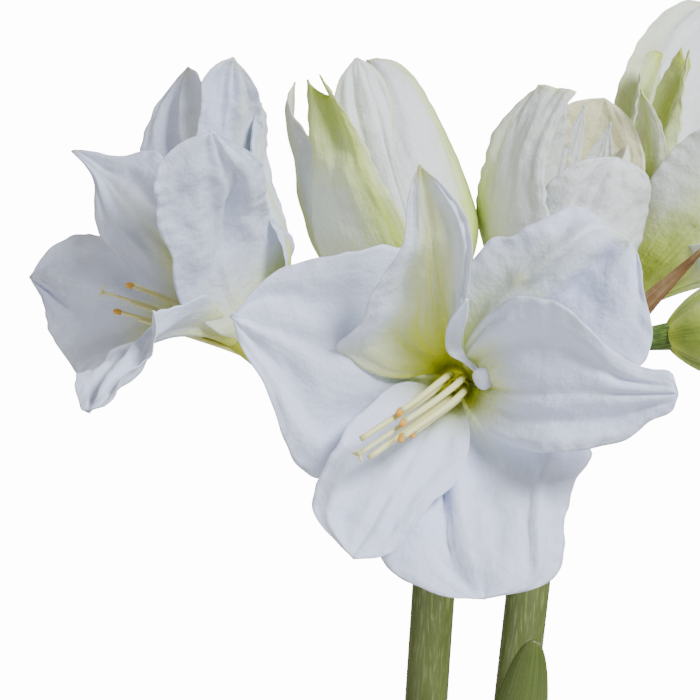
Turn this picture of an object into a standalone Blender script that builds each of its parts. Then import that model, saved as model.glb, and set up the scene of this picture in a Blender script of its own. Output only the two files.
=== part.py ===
"""A white amaryllis in a plain glazed pot: one bulb, two flower stems, six strap leaves.

Units are metres, +Z is up and the origin is the middle of the pot's flat foot. The front of the
plant faces -Y. Pieces that touch keep a gap of CLEAR between their meshes.
"""
import math
from dataclasses import dataclass

import bmesh
import bpy
import numpy as np
from mathutils import Matrix, Vector

# Driving dimensions

CLEAR = 0.0003

POT_HEIGHT = 0.130
POT_FOOT_RADIUS = 0.060
POT_MOUTH_RADIUS = 0.075
POT_WALL = 0.006
POT_LIP = 0.003

SOIL_TOP = 0.112
SOIL_DIP = 0.004

BULB_BOTTOM = 0.066
BULB_RADIUS = 0.045
NECK_RADIUS = 0.026
NECK_TOP = 0.178
BULB_SIDE = ((0.020, BULB_BOTTOM), (0.037, 0.081), (BULB_RADIUS, 0.108), (0.0425, 0.130),
             (0.0335, 0.149), (NECK_RADIUS + 0.0012, 0.164), (NECK_RADIUS, NECK_TOP))
SOCKET_RADIUS = 0.0225
SOCKET_FLOOR = 0.163

SCAPE_RADIUS = 0.0086
SCAPE_DOME = 0.004          # height of the rounded top of a scape
PEDICEL_RADIUS = 0.0036
PEDICEL_DEPTH = 0.006       # how deep a pedicel starts in the scape's top
PEDICEL_RISE = 0.010        # how far it rises or runs straight before it bends
OVARY_RADIUS = 0.0052
OVARY_LENGTH = 0.015

LEAF_THICKNESS = 0.0022
LEAF_TROUGH = 0.22          # depth of a leaf's channel against its half width
PETAL_THICKNESS = 0.0009
SPATHE_THICKNESS = 0.0008
VALVE_TROUGH = 0.25

TUBE_LENGTH = 0.012
TUBE_FOOT_RADIUS = 0.0046
TUBE_MOUTH_RADIUS = 0.0062
TUBE_WALL = 0.0013

OUTER_ROOT = 0.0061
SIDE_TO_SIDE = 0.96     # half the angle in radians that a petal may take up round the flower's throat
NARROWEST = 0.0024      # width of a petal's tip row
RUFFLED_HALF = 0.014    # half width from which a margin ruffles fully
FLATTEST = 0.001        # least cupping in radians, so that a flat row is still an arc
TIPWARD = 1.3           # how much closer the rows of a blade lie towards its tip

PETAL_GRID = (4, 6)
OPEN_PETAL_GRID = (6, 7)
VALVE_GRID = (2, 6)
LEAF_GRID = (4, 10)
RIB_STEPS = 121
SCAPE_ROWS = 9
PEDICEL_ROWS = 7
POT_STEPS = 32
BULB_STEPS = 24
BULB_ROWS = 11
COLLAR_STEPS = 16
SCAPE_SIDES = 12
TUBE_STEPS = 12
PEDICEL_SIDES = 8
STRAND_SIDES = 4


# Curves through a few values

def smooth(stations, t):
    """Values spaced evenly from root to tip, read at t in 0..1 along one smooth curve."""
    values = np.asarray(stations, float)
    spot = np.clip(np.asarray(t, float), 0, 1) * (len(values) - 1)
    index = np.minimum(spot.astype(int), len(values) - 2)
    part = (spot - index).reshape(spot.shape + (1,) * (values.ndim - 1))
    here, after = values[index], values[index + 1]
    inside_low = (index > 0).reshape(part.shape)
    inside_high = (index < len(values) - 2).reshape(part.shape)
    before = np.where(inside_low, values[np.maximum(index - 1, 0)], 2 * here - after)
    beyond = np.where(inside_high, values[np.minimum(index + 2, len(values) - 1)], 2 * after - here)
    leave, arrive = (after - before) / 2, (beyond - here) / 2
    return ((2 * part**3 - 3 * part**2 + 1) * here + (part**3 - 2 * part**2 + part) * leave
            + (3 * part**2 - 2 * part**3) * after + (part**3 - part**2) * arrive)


def ease(t):
    """A soft step from 0 to 1."""
    t = np.clip(t, 0, 1)
    return t * t * (3 - 2 * t)


def unit(vector):
    vector = np.asarray(vector, float)
    return vector / np.linalg.norm(vector)


# Petals and blooms

OVAL = (0.32, 0.62, 0.90, 1.0, 0.94, 0.74)
HOODED = (0, 0, 0, 0, 40, 70)
BUD_OPENING = (32, 37, 17, 1, -4, -8)


@dataclass
class Petal:
    """One petal, in its bloom's own frame: z runs out of the flower, turns are about z."""
    turn: float                     # degrees round the flower at the root
    length: float
    width: float
    opening: tuple                  # degrees between petal and flower axis, root to tip
    left: tuple = OVAL              # shares of the half width, root to tip, on the later-turn side
    right: tuple = OVAL
    curl_left: tuple = (0, 0, 0)    # degrees that the margin rolls inward, root to tip
    curl_right: tuple = (0, 0, 0)
    hug: float = 0.45               # share of the length that wraps round the flower axis
    swing: float = 0.0              # degrees that the tip turns round the flower
    roll: tuple = (0, 0)            # degrees that the blade twists about its midrib
    ruffle: float = 0.0015
    waves: float = 2.5
    phase: float = 0.0
    root: float = 0.0046            # distance from the flower axis at the root
    point: float = 0.55             # how sharp the tip is
    blunt: float = 7.0              # how late the tip starts


@dataclass
class Bloom:
    base: tuple
    axis: tuple
    petals: tuple
    zero: tuple = (0, -1, 0)        # the direction of turn 0, towards the viewer by default


def frame_of(bloom):
    """Rows are the bloom's x, y and z directions."""
    out = unit(bloom.axis)
    first = np.array(bloom.zero, float)
    first = unit(first - first.dot(out) * out)
    return np.stack([first, np.cross(out, first), out])


def petal_points(petal, across, along):
    """Points of a petal: across is -1..1 from margin to margin, along is 0..1 from root to tip."""
    steps = np.linspace(0, 1, RIB_STEPS)
    lean = np.radians(smooth(petal.opening, steps))
    turn = np.radians(petal.turn + petal.swing * steps**2)
    ahead = np.stack([np.sin(lean) * np.cos(turn), np.sin(lean) * np.sin(turn), np.cos(lean)], 1)
    pieces = (ahead[1:] + ahead[:-1]) / 2 * petal.length / (len(steps) - 1)
    start = np.array([petal.root * math.cos(turn[0]), petal.root * math.sin(turn[0]), 0.0])
    rib = np.vstack([start, start + np.cumsum(pieces, 0)])
    midrib = np.stack([np.interp(along, steps, rib[:, k]) for k in range(3)], -1)
    lean = np.interp(along, steps, lean)
    turn = np.interp(along, steps, turn)
    sideways = np.stack([-np.sin(turn), np.cos(turn), 0 * turn], -1)
    inward = np.stack([-np.cos(lean) * np.cos(turn), -np.cos(lean) * np.sin(turn), np.sin(lean)], -1)
    twist = np.radians(smooth(petal.roll, along))[..., None]
    width_way = np.cos(twist) * sideways + np.sin(twist) * inward
    cup_way = np.cos(twist) * inward - np.sin(twist) * sideways

    on_left = across >= 0
    side = np.where(on_left, 1.0, -1.0)
    share = np.where(on_left, smooth(petal.left, along), smooth(petal.right, along))
    taper = np.maximum(1 - along**petal.blunt, 0)**petal.point
    half = np.maximum(petal.width / 2 * share * taper, NARROWEST / 2)
    radius = np.hypot(midrib[..., 0], midrib[..., 1])
    wrapped = ease(1.4 * (1 - along / petal.hug)) if petal.hug < 1 else np.ones_like(along)
    half = half + wrapped * (np.minimum(half, SIDE_TO_SIDE * radius) - half)
    curl = np.where(on_left, smooth(petal.curl_left, along), smooth(petal.curl_right, along))
    cup = np.minimum(wrapped * half / radius, 2.0) + np.radians(curl)
    cup = np.where(np.abs(cup) < FLATTEST, FLATTEST, cup)
    out = np.abs(across)
    sway = side * half * np.sin(cup * out) / cup
    rise = half * (1 - np.cos(cup * out)) / cup
    wave = np.sin(2 * math.pi * (petal.waves * along + petal.phase + 0.37 * side))
    ruffle = petal.ruffle * np.minimum(half / RUFFLED_HALF, 1)
    rise = rise + ruffle * out**2.2 * wave * ease((along - 0.2) / 0.5)
    return midrib + width_way * sway[..., None] + cup_way * rise[..., None]


FRONT = Bloom(base=(0.0105, -0.050, 0.5275), axis=(-0.06, -0.99, -0.06), zero=(1, 0, 0), petals=(
    Petal(turn=161, length=0.106, width=0.090, opening=(14, 34, 60, 76, 86), blunt=9, root=OUTER_ROOT,
          left=(0.25, 0.55, 0.85, 1.10, 1.13, 0.92, 0.60, 0.35),
          right=(0.25, 0.5, 0.72, 0.84, 0.88, 0.80, 0.66, 0.6),
          curl_left=(0, 0, 0, -5, -10), curl_right=(0, 0, -15, -25, -25)),
    Petal(turn=40, length=0.102, width=0.070, opening=(14, 36, 60, 72, 80), blunt=14, point=0.5,
          left=(0.3, 0.6, 0.85, 0.92, 0.88, 0.90, 0.95, 1.0),
          right=(0.3, 0.6, 0.9, 1.0, 1.05, 1.08, 1.05, 0.95),
          curl_left=(0, 0, 0, 0, -10), curl_right=(0, 0, 0, 0, -10), root=OUTER_ROOT),
    Petal(turn=-80, length=0.103, width=0.078, opening=(12, 30, 52, 62, 70), blunt=12, point=0.5,
          left=(0.3, 0.7, 1.1, 1.2, 1.1, 1.05, 0.95, 0.85),
          right=(0.3, 0.6, 0.9, 1.0, 1.05, 1.0, 0.9, 0.8), root=OUTER_ROOT),
    Petal(turn=97, length=0.113, width=0.052, opening=(10, 26, 50, 64, 76), point=0.7, hug=0.4,
          left=(0.3, 0.8, 1.50, 1.30, 0.85, 0.65, 0.5, 0.3),
          right=(0.3, 0.4, 0.5, 0.75, 0.92, 0.92, 0.75, 0.45),
          curl_left=(0, 0, 15, 25, 15), curl_right=(0, 10, 45, 50, 30)),
    Petal(turn=1, length=0.112, width=0.064, opening=(8, 20, 48, 70, 82), blunt=9,
          left=(0.3, 0.8, 1.1, 1.05, 0.95, 0.75, 0.5, 0.35),
          right=(0.3, 0.45, 0.6, 0.68, 0.72, 0.78, 0.75, 0.8),
          curl_left=(0, 5, 20, 10, 0), curl_right=(0, 0, 10, -5, -20)),
    Petal(turn=-120, length=0.100, width=0.050, opening=(9, 23, 45, 60, 69),
          left=(0.3, 0.8, 1.0, 0.95, 0.85, 0.8, 0.75, 0.6),
          right=(0.3, 0.7, 0.95, 1.1, 1.15, 1.15, 1.0, 0.7),
          curl_left=(0, 5, 20, 15, 5), curl_right=(0, 0, 10, 5, 0)),
))
LEFT = Bloom(base=(-0.0715, -0.010, 0.543), axis=(-0.70, -0.14, 0.70), petals=(
    Petal(turn=222, length=0.110, width=0.062, opening=(12, 40, 54, 60, 62), swing=-25, roll=(0, -30),
          root=OUTER_ROOT),
    Petal(turn=183, length=0.120, width=0.050, opening=(12, 28, 34, 36, 38), swing=-14, point=0.8),
    Petal(turn=130, length=0.122, width=0.060, opening=(12, 36, 46, 46, 44), roll=(0, 0, 15, 25),
          root=OUTER_ROOT),
    Petal(turn=75, length=0.116, width=0.047, opening=(10, 32, 46, 54, 54), swing=-12,
          roll=(0, -10, -40, -60)),
    Petal(turn=22, length=0.118, width=0.058, opening=(12, 42, 56, 54, 48), swing=8, roll=(0, -40),
          root=OUTER_ROOT, right=(0.32, 0.56, 0.72, 0.74, 0.72, 0.58)),
    Petal(turn=318, length=0.102, width=0.048, opening=(14, 50, 78, 90, 98), swing=7, roll=(0, -35)),
))
HALF_OPEN_LEFT = Bloom(base=(0.0040, 0.012, 0.546), axis=(-0.285, 0.0, 0.958), petals=(
    Petal(turn=115, length=0.116, width=0.054, opening=BUD_OPENING, hug=1, root=OUTER_ROOT),
    Petal(turn=195, length=0.118, width=0.056, opening=BUD_OPENING, hug=1),
    Petal(turn=52, length=0.130, width=0.060, opening=(30, 34, 15, -2, -28, -62), hug=1, blunt=9),
    Petal(turn=262, length=0.116, width=0.042, opening=(35, 39, 18, 4, 0, -4), hug=1, point=0.9,
          root=0.0055),
    Petal(turn=338, length=0.120, width=0.054, opening=(34, 40, 17, 0, -6, -20), hug=1, root=0.0055),
    Petal(turn=310, length=0.114, width=0.046, opening=(36, 43, 22, 3, 0, -6), hug=1, root=0.0065,
          curl_left=HOODED, curl_right=HOODED),
))
HALF_OPEN_MIDDLE = Bloom(base=(0.046, 0.032, 0.546), axis=(0.24, -0.28, 0.92), petals=(
    Petal(turn=175, length=0.106, width=0.062, opening=(35, 38, 20, 6, 2, 0), hug=1, root=OUTER_ROOT),
    Petal(turn=98, length=0.102, width=0.046, opening=(31, 32, 14, 2, -4, -6), hug=1),
    Petal(turn=235, length=0.106, width=0.050, opening=(31, 33, 15, 3, -3, -8), hug=1),
    Petal(turn=350, length=0.080, width=0.044, opening=(32, 34, 18, 4, 0, 0), hug=1),
    Petal(turn=296, length=0.115, width=0.070, opening=(36, 40, 21, 4, -8, -18), hug=1, root=OUTER_ROOT),
    Petal(turn=26, length=0.094, width=0.056, opening=(32, 38, 26, 12, 7, 8), hug=0.9, blunt=10,
          root=OUTER_ROOT),
))
UPPER_RIGHT = Bloom(base=(0.082, 0.064, 0.558), axis=(0.55, -0.02, 0.83), petals=(
    Petal(turn=210, length=0.150, width=0.070, opening=(23, 32, 30, 26, 20, 14), hug=0.7,
          left=(0.32, 0.56, 0.74, 0.86, 0.88, 0.74)),
    Petal(turn=268, length=0.110, width=0.042, opening=(26, 32, 24, 16, 8, 4), hug=1, root=OUTER_ROOT,
          curl_left=HOODED, curl_right=HOODED),
    Petal(turn=306, length=0.112, width=0.044, opening=(22, 27, 18, 10, 6, 2), hug=1,
          curl_left=HOODED, curl_right=HOODED),
    Petal(turn=12, length=0.112, width=0.056, opening=(26, 33, 26, 22, 20, 20), hug=0.8, root=OUTER_ROOT),
    Petal(turn=68, length=0.114, width=0.058, opening=(25, 34, 38, 44, 50, 54), hug=0.6),
    Petal(turn=125, length=0.116, width=0.058, opening=(28, 40, 46, 50, 52, 50), hug=0.6, root=OUTER_ROOT),
))
CLOSED_OPENING = (38, 26, 4, -8, -20, -34)
CLOSED_RIGHT = Bloom(base=(0.0985, -0.002, 0.5475), axis=(0.985, -0.10, 0.12), petals=tuple(
    Petal(turn=turn, length=0.080, width=width, opening=CLOSED_OPENING, hug=1, ruffle=0, point=0.8,
          root=root, left=(0.42, 0.8, 1.0, 1.0, 0.85, 0.55), right=(0.42, 0.8, 1.0, 1.0, 0.85, 0.55))
    for turn, width, root in ((0, 0.037, 0.0061), (120, 0.037, 0.0061), (240, 0.037, 0.0061),
                              (60, 0.032, 0.0046), (180, 0.032, 0.0046), (300, 0.032, 0.0046))
))
BLOOMS = {
    "bloom_front": FRONT,
    "bloom_left": LEFT,
    "bloom_half_open_left": HALF_OPEN_LEFT,
    "bloom_half_open_middle": HALF_OPEN_MIDDLE,
    "bloom_upper_right": UPPER_RIGHT,
    "bud_right": CLOSED_RIGHT,
}


# Stamens: how far the bundle droops towards one turn of its bloom, and how long it is

@dataclass
class Stamens:
    bloom: Bloom
    droop_turn: float
    droop: tuple        # degrees between the bundle and the flower axis, root to tip
    length: float


STAMENS = {
    "stamens_front": Stamens(FRONT, 216, (0, 0, 4, 26, 56, 60), 0.106),
    "stamens_left": Stamens(LEFT, 262, (2, 4, 12, 20, 20, 10), 0.072),
    "stamens_half_open_middle": Stamens(HALF_OPEN_MIDDLE, 180, (0, 4, 10, 10, 8, 4), 0.070),
    "stamens_upper_right": Stamens(UPPER_RIGHT, 90, (0, 4, 10, 14, 16, 14), 0.066),
}
STAMEN_COUNT = 6
STAMEN_POINTS = 6
STYLE_SHARE = 1.18     # length of the style against the longest filament
STAMEN_DISC = 0.0016    # height of the disc that joins the filaments
FILAMENT_RADIUS = 0.0008
FILAMENT_RING = 0.0019  # distance of the filaments from the style, at the foot
FILAMENT_SPREAD = 0.0036
STYLE_RADIUS = 0.0009
STIGMA_RADIUS = 0.0019
ANTHER_RADIUS = 0.0014
ANTHER_LENGTH = 0.007
ANTHER_TIP = 0.0006


# Stems: the scapes' middle lines, the umbels' tops and the pedicels' routes

UMBEL_TOP = 0.506
STEM_FOOT = SOCKET_FLOOR + 0.0008
LEFT_SCAPE = ((-0.0112, 0.000, STEM_FOOT), (-0.0080, 0.002, 0.260), (0.0000, 0.005, 0.390),
              (0.0046, 0.008, 0.460), (0.0066, 0.012, UMBEL_TOP))
RIGHT_SCAPE = ((0.0120, 0.000, STEM_FOOT), (0.0205, 0.001, 0.260), (0.0352, 0.003, 0.390),
               (0.0433, 0.007, 0.460), (0.0484, 0.012, UMBEL_TOP))


@dataclass
class Stem:
    path: tuple
    blooms: tuple


STEMS = {
    "scape_left": Stem(LEFT_SCAPE, (FRONT, LEFT, HALF_OPEN_LEFT)),
    "scape_right": Stem(RIGHT_SCAPE, (HALF_OPEN_MIDDLE, UPPER_RIGHT, CLOSED_RIGHT)),
}


# Spathes: two papery valves on a collar under each umbel

@dataclass
class Valve:
    turn: float         # degrees round the scape where it leaves the collar
    course: tuple       # places that its middle passes, from near the collar to its tip
    width: float
    tip_lies: tuple     # the direction of its width at the tip


COLLAR_SPOT = 0.92      # place along the scape
COLLAR_INNER = 0.0098
COLLAR_OUTER = 0.0107
COLLAR_HEIGHT = 0.004
SPATHES = {
    "spathe_left": (LEFT_SCAPE, (
        Valve(194, ((-0.0150, 0.0060, 0.503), (-0.0300, 0.0040, 0.497), (-0.0400, 0.0030, 0.478)), 0.014,
              (0.2, -1.0, 0.0)),
        Valve(64, ((0.0150, 0.0330, 0.503), (0.0190, 0.0490, 0.496), (0.0220, 0.0590, 0.477)), 0.014,
              (-1.0, 0.3, 0.0)))),
    "spathe_right": (RIGHT_SCAPE, (
        Valve(8, ((0.0660, 0.0190, 0.522), (0.0820, 0.0170, 0.550), (0.1120, 0.0020, 0.581)), 0.013,
              (-0.7, 0.0, 0.7)),
        Valve(254, ((0.0410, -0.0110, 0.502), (0.0350, -0.0230, 0.494), (0.0310, -0.0300, 0.472)), 0.014,
              (1.0, -0.3, 0.0)))),
}


@dataclass
class Leaf:
    root: tuple         # x and y where it stands in the bulb's neck
    tip: tuple
    width: float
    facing: tuple       # degrees round Z of the blade's width direction, root to tip
    arch: float         # height of the bow above a straight line from root to tip
    spread: float = 1.6


LEAVES = {
    "leaf_front_right": Leaf((0.0085, -0.0125), (0.0415, -0.036, 0.425), 0.030, (0, -18), 0.010, 1.4),
    "leaf_front_left": Leaf((-0.0085, -0.0125), (-0.085, -0.050, 0.335), 0.030, (0, -40), 0.060),
    "leaf_left": Leaf((-0.0060, -0.0160), (-0.135, -0.100, 0.235), 0.029, (0, -45), 0.110),
    "leaf_back_right": Leaf((0.0060, 0.0162), (0.045, 0.088, 0.375), 0.030, (180, 148), 0.030),
    "leaf_back_left": Leaf((-0.0085, 0.0128), (-0.070, 0.070, 0.365), 0.030, (180, 218), 0.035),
    "leaf_right": Leaf((0.0085, 0.0128), (0.145, 0.055, 0.260), 0.028, (180, 120), 0.110),
}


# Materials

def material(name, colour, roughness):
    made = bpy.data.materials.new(name)
    made.use_nodes = True
    shader = made.node_tree.nodes["Principled BSDF"]
    shader.inputs["Base Color"].default_value = (*colour, 1.0)
    shader.inputs["Roughness"].default_value = roughness
    shader.inputs["Metallic"].default_value = 0.0
    return made


# Mesh helpers

def finished(name, mesh_builder, surface):
    """An object from a bmesh, smooth shaded, with one material."""
    mesh = bpy.data.meshes.new(name)
    mesh_builder.to_mesh(mesh)
    mesh_builder.free()
    mesh.shade_smooth()
    made = bpy.data.objects.new(name, mesh)
    made.data.materials.append(surface)
    bpy.context.scene.collection.objects.link(made)
    return made


def bake_modifiers(piece):
    """Replace the mesh by what its modifiers make of it."""
    graph = bpy.context.evaluated_depsgraph_get()
    result = bpy.data.meshes.new_from_object(piece.evaluated_get(graph))
    old = piece.data
    piece.modifiers.clear()
    piece.data = result
    bpy.data.meshes.remove(old)


def sheet(name, columns, rows, place, thickness, surface):
    """A blade: a triangulated grid, moved to its place by a function, then given its thickness."""
    builder = bmesh.new()
    bmesh.ops.create_grid(builder, x_segments=columns, y_segments=rows, size=1.0)
    builder.verts.ensure_lookup_table()
    spots = np.array([vert.co for vert in builder.verts])
    across = spots[:, 0]
    along = 1 - ((1 - spots[:, 1]) / 2) ** TIPWARD
    for vert, point in zip(builder.verts, place(across, along)):
        vert.co = point
    bmesh.ops.triangulate(builder, faces=builder.faces, quad_method="SHORT_EDGE")
    piece = finished(name, builder, surface)
    wall = piece.modifiers.new("Thickness", "SOLIDIFY")
    wall.thickness = thickness
    wall.offset = 0.0
    bake_modifiers(piece)
    return piece


def turned(name, profile, steps, surface):
    """A closed solid turned about Z from (radius, height) points that start and end on the axis."""
    builder = bmesh.new()
    verts = [builder.verts.new((radius, 0.0, height)) for radius, height in profile]
    edges = [builder.edges.new(pair) for pair in zip(verts, verts[1:])]
    bmesh.ops.spin(builder, geom=verts + edges, cent=(0, 0, 0), axis=(0, 0, 1),
                   angle=math.tau, steps=steps, use_merge=True)
    bmesh.ops.remove_doubles(builder, verts=builder.verts, dist=0.00001)
    bmesh.ops.recalc_face_normals(builder, faces=builder.faces)
    return finished(name, builder, surface)


def tube(name, path, radii, sides, surface):
    """A closed round bar along the points of a path, with a radius at each point."""
    curve = bpy.data.curves.new(name, "CURVE")
    curve.dimensions = "3D"
    curve.bevel_depth = 1.0
    curve.bevel_resolution = (sides - 4) // 2
    curve.use_fill_caps = True
    spline = curve.splines.new("POLY")
    spline.points.add(len(path) - 1)
    for point, place, radius in zip(spline.points, path, radii):
        point.co = (*place, 1.0)
        point.radius = radius
    guide = bpy.data.objects.new(name + "_guide", curve)
    bpy.context.scene.collection.objects.link(guide)
    graph = bpy.context.evaluated_depsgraph_get()
    builder = bmesh.new()
    round_bar = bpy.data.meshes.new_from_object(guide.evaluated_get(graph))
    builder.from_mesh(round_bar)
    bpy.data.objects.remove(guide)
    bpy.data.curves.remove(curve)
    bpy.data.meshes.remove(round_bar)
    bmesh.ops.remove_doubles(builder, verts=builder.verts, dist=0.00001)
    bmesh.ops.recalc_face_normals(builder, faces=builder.faces)
    return finished(name, builder, surface)


def main_body(piece):
    """Keep the largest shell: loose scraps go, and hollows sealed by the union are filled."""
    builder = bmesh.new()
    builder.from_mesh(piece.data)
    waiting = set(builder.verts)
    shells = []
    while waiting:
        shell = {waiting.pop()}
        edge_of_search = list(shell)
        while edge_of_search:
            vert = edge_of_search.pop()
            for edge in vert.link_edges:
                other = edge.other_vert(vert)
                if other in waiting:
                    waiting.discard(other)
                    shell.add(other)
                    edge_of_search.append(other)
        shells.append(shell)
    shells.sort(key=len)
    for shell in shells[:-1]:
        bmesh.ops.delete(builder, geom=list(shell), context="VERTS")
    builder.to_mesh(piece.data)
    builder.free()


def joined(piece, others):
    """One Boolean union of a piece with a collection, whose objects are then removed."""
    group = bpy.data.collections.new(piece.name + "_parts")
    bpy.context.scene.collection.children.link(group)
    for other in others:
        bpy.context.scene.collection.objects.unlink(other)
        group.objects.link(other)
    union = piece.modifiers.new("Union", "BOOLEAN")
    union.operation = "UNION"
    union.operand_type = "COLLECTION"
    union.collection = group
    union.solver = "EXACT"
    union.use_self = True
    bake_modifiers(piece)
    for other in others:
        bpy.data.objects.remove(other)
    bpy.data.collections.remove(group)
    main_body(piece)
    piece.data.shade_smooth()
    return piece


def set_upright(piece, bloom):
    """Move a piece that was made about +Z to its bloom's base and axis."""
    turn = Matrix(frame_of(bloom)).transposed().to_4x4()
    piece.data.transform(Matrix.Translation(bloom.base) @ turn)
    return piece


# The pieces

def make_bloom(name, bloom, surface, columns, rows):
    """Six petals that grow out of the rim of a short tube, joined in one body."""
    core = turned(name, ((0, -TUBE_LENGTH), (TUBE_FOOT_RADIUS, -TUBE_LENGTH),
                         (TUBE_MOUTH_RADIUS, 0.003), (TUBE_MOUTH_RADIUS - TUBE_WALL, 0.003),
                         (TUBE_FOOT_RADIUS - TUBE_WALL, TUBE_WALL - TUBE_LENGTH),
                         (0, TUBE_WALL - TUBE_LENGTH)), TUBE_STEPS, surface)
    petals = [sheet(f"{name}_petal_{number}", columns, rows,
                    lambda across, along, petal=petal: petal_points(petal, across, along),
                    PETAL_THICKNESS, surface)
              for number, petal in enumerate(bloom.petals)]
    return set_upright(joined(core, petals), bloom)


def make_stamens(name, stamens, surface):
    """Six filaments with anthers round one longer style, on a small disc in the tube's foot."""
    foot = TUBE_WALL - TUBE_LENGTH + CLEAR
    radius = TUBE_FOOT_RADIUS - TUBE_WALL - CLEAR
    disc_top = foot + STAMEN_DISC
    disc = turned(name, ((0, foot), (radius, foot), (radius, disc_top), (0, disc_top)), 8, surface)
    steps = np.linspace(0, 1, STAMEN_POINTS)
    lean = np.radians(smooth(stamens.droop, steps))
    way = np.array([math.cos(math.radians(stamens.droop_turn)),
                    math.sin(math.radians(stamens.droop_turn)), 0.0])
    cross = np.array([-way[1], way[0], 0.0])
    ahead = np.outer(np.sin(lean), way) + np.outer(np.cos(lean), (0, 0, 1))
    strands = []
    for number in range(STAMEN_COUNT + 1):
        is_style = number == STAMEN_COUNT
        reach = stamens.length * (STYLE_SHARE if is_style else 1.0 - 0.07 * (number % 3))
        pieces = (ahead[1:] + ahead[:-1]) / 2 * reach / (STAMEN_POINTS - 1)
        rib = np.vstack([(0, 0, 0), np.cumsum(pieces, 0)])
        turn = math.tau * number / STAMEN_COUNT
        spread = 0.0 if is_style else 1.0
        out = spread * (FILAMENT_RING + FILAMENT_SPREAD * steps**1.5)
        up = np.cross(ahead, cross)
        offset = (out * math.cos(turn))[:, None] * cross + (out * math.sin(turn))[:, None] * up
        path = rib + offset + (0, 0, foot + 0.4 * STAMEN_DISC)
        thickness = STYLE_RADIUS if is_style else FILAMENT_RADIUS
        widths = [thickness] * STAMEN_POINTS
        strands.append(tube(f"{name}_strand_{number}", path, widths, STRAND_SIDES, surface))
        end_way = unit(path[-1] - path[-2])
        if is_style:
            knob = [path[-1] + end_way * STIGMA_RADIUS * step for step in (-1.0, 0.0, 0.75)]
            sizes = (STYLE_RADIUS, STIGMA_RADIUS, 0.6 * STIGMA_RADIUS)
            strands.append(tube(f"{name}_stigma", knob, sizes, STRAND_SIDES, surface))
        else:
            bar = unit(np.cross(end_way, cross)) * ANTHER_LENGTH
            knob = [path[-1] + bar * step for step in (-0.5, -0.3, 0.3, 0.5)]
            sizes = (ANTHER_TIP, ANTHER_RADIUS, ANTHER_RADIUS, ANTHER_TIP)
            strands.append(tube(f"{name}_anther_{number}", knob, sizes, STRAND_SIDES, surface))
    return set_upright(joined(disc, strands), stamens.bloom)


def make_scape(name, stem, surface):
    """One stem with its umbel: pedicels that each end in the ovary under their flower."""
    rows = np.linspace(0, 1, SCAPE_ROWS)
    widths = smooth((1.02, 1.0, 1.0, 1.0, 1.02, 1.05), rows) * SCAPE_RADIUS
    top = np.array(stem.path[-1])
    lie = unit(top - np.array(stem.path[-2]))
    path = list(smooth(stem.path, rows)) + [top + lie * SCAPE_DOME]
    scape = tube(name, path, [*widths, SCAPE_RADIUS * 0.55], SCAPE_SIDES, surface)
    branches = []
    for number, bloom in enumerate(stem.blooms):
        out = unit(bloom.axis)
        head = np.array(bloom.base) - out * (TUBE_LENGTH + CLEAR)
        foot = head - out * OVARY_LENGTH
        start = top - lie * PEDICEL_DEPTH
        lift = top + lie * PEDICEL_RISE + 0.15 * (foot - top)
        stations = (start, lift, foot - out * PEDICEL_RISE, foot)
        route = smooth(stations, np.linspace(0, 1, PEDICEL_ROWS))
        points = list(route) + [foot + out * OVARY_LENGTH * share for share in (0.2, 0.6, 0.9, 1.0)]
        radii = [PEDICEL_RADIUS] * PEDICEL_ROWS + [0.9 * OVARY_RADIUS, OVARY_RADIUS,
                                                   0.92 * OVARY_RADIUS, TUBE_FOOT_RADIUS]
        branches.append(tube(f"{name}_pedicel_{number}", points, radii, PEDICEL_SIDES, surface))
    return joined(scape, branches)


def make_spathe(name, path, valves, surface):
    """A collar round the scape with two narrow valves."""
    middle = smooth(path, COLLAR_SPOT)
    lie = unit(smooth(path, COLLAR_SPOT + 0.02) - smooth(path, COLLAR_SPOT - 0.02))
    collar = turned(name, ((COLLAR_OUTER, 0), (COLLAR_OUTER, COLLAR_HEIGHT),
                           (COLLAR_INNER, COLLAR_HEIGHT), (COLLAR_INNER, 0), (COLLAR_OUTER, 0)),
                    COLLAR_STEPS, surface)
    turn = Vector((0, 0, 1)).rotation_difference(Vector(lie)).to_matrix().to_4x4()
    collar.data.transform(Matrix.Translation(middle) @ turn)

    def valve_points(valve):
        leave = np.radians(valve.turn)
        wall = np.array([np.cos(leave), np.sin(leave), 0]) * (COLLAR_INNER + COLLAR_OUTER) / 2
        course = (middle + wall + lie * 0.25 * COLLAR_HEIGHT, middle + wall + lie * 1.5 * COLLAR_HEIGHT,
                  *valve.course)
        lies = ((-np.sin(leave), np.cos(leave), 0), valve.tip_lies)

        def place(across, along):
            ahead = smooth(course, along + 0.01) - smooth(course, along - 0.01)
            face = np.cross(smooth(lies, along), ahead)
            face /= np.linalg.norm(face, axis=-1, keepdims=True)
            width_way = np.cross(ahead, face)
            width_way /= np.linalg.norm(width_way, axis=-1, keepdims=True)
            half = valve.width / 2 * smooth((0.45, 0.9, 0.9, 0.55, 0.10), along)
            trough = face * (VALVE_TROUGH * half * across**2)[..., None]
            return smooth(course, along) + width_way * (across * half)[..., None] + trough
        return place
    blades = [sheet(f"{name}_valve_{number}", *VALVE_GRID, valve_points(valve), SPATHE_THICKNESS, surface)
              for number, valve in enumerate(valves)]
    return joined(collar, blades)


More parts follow.
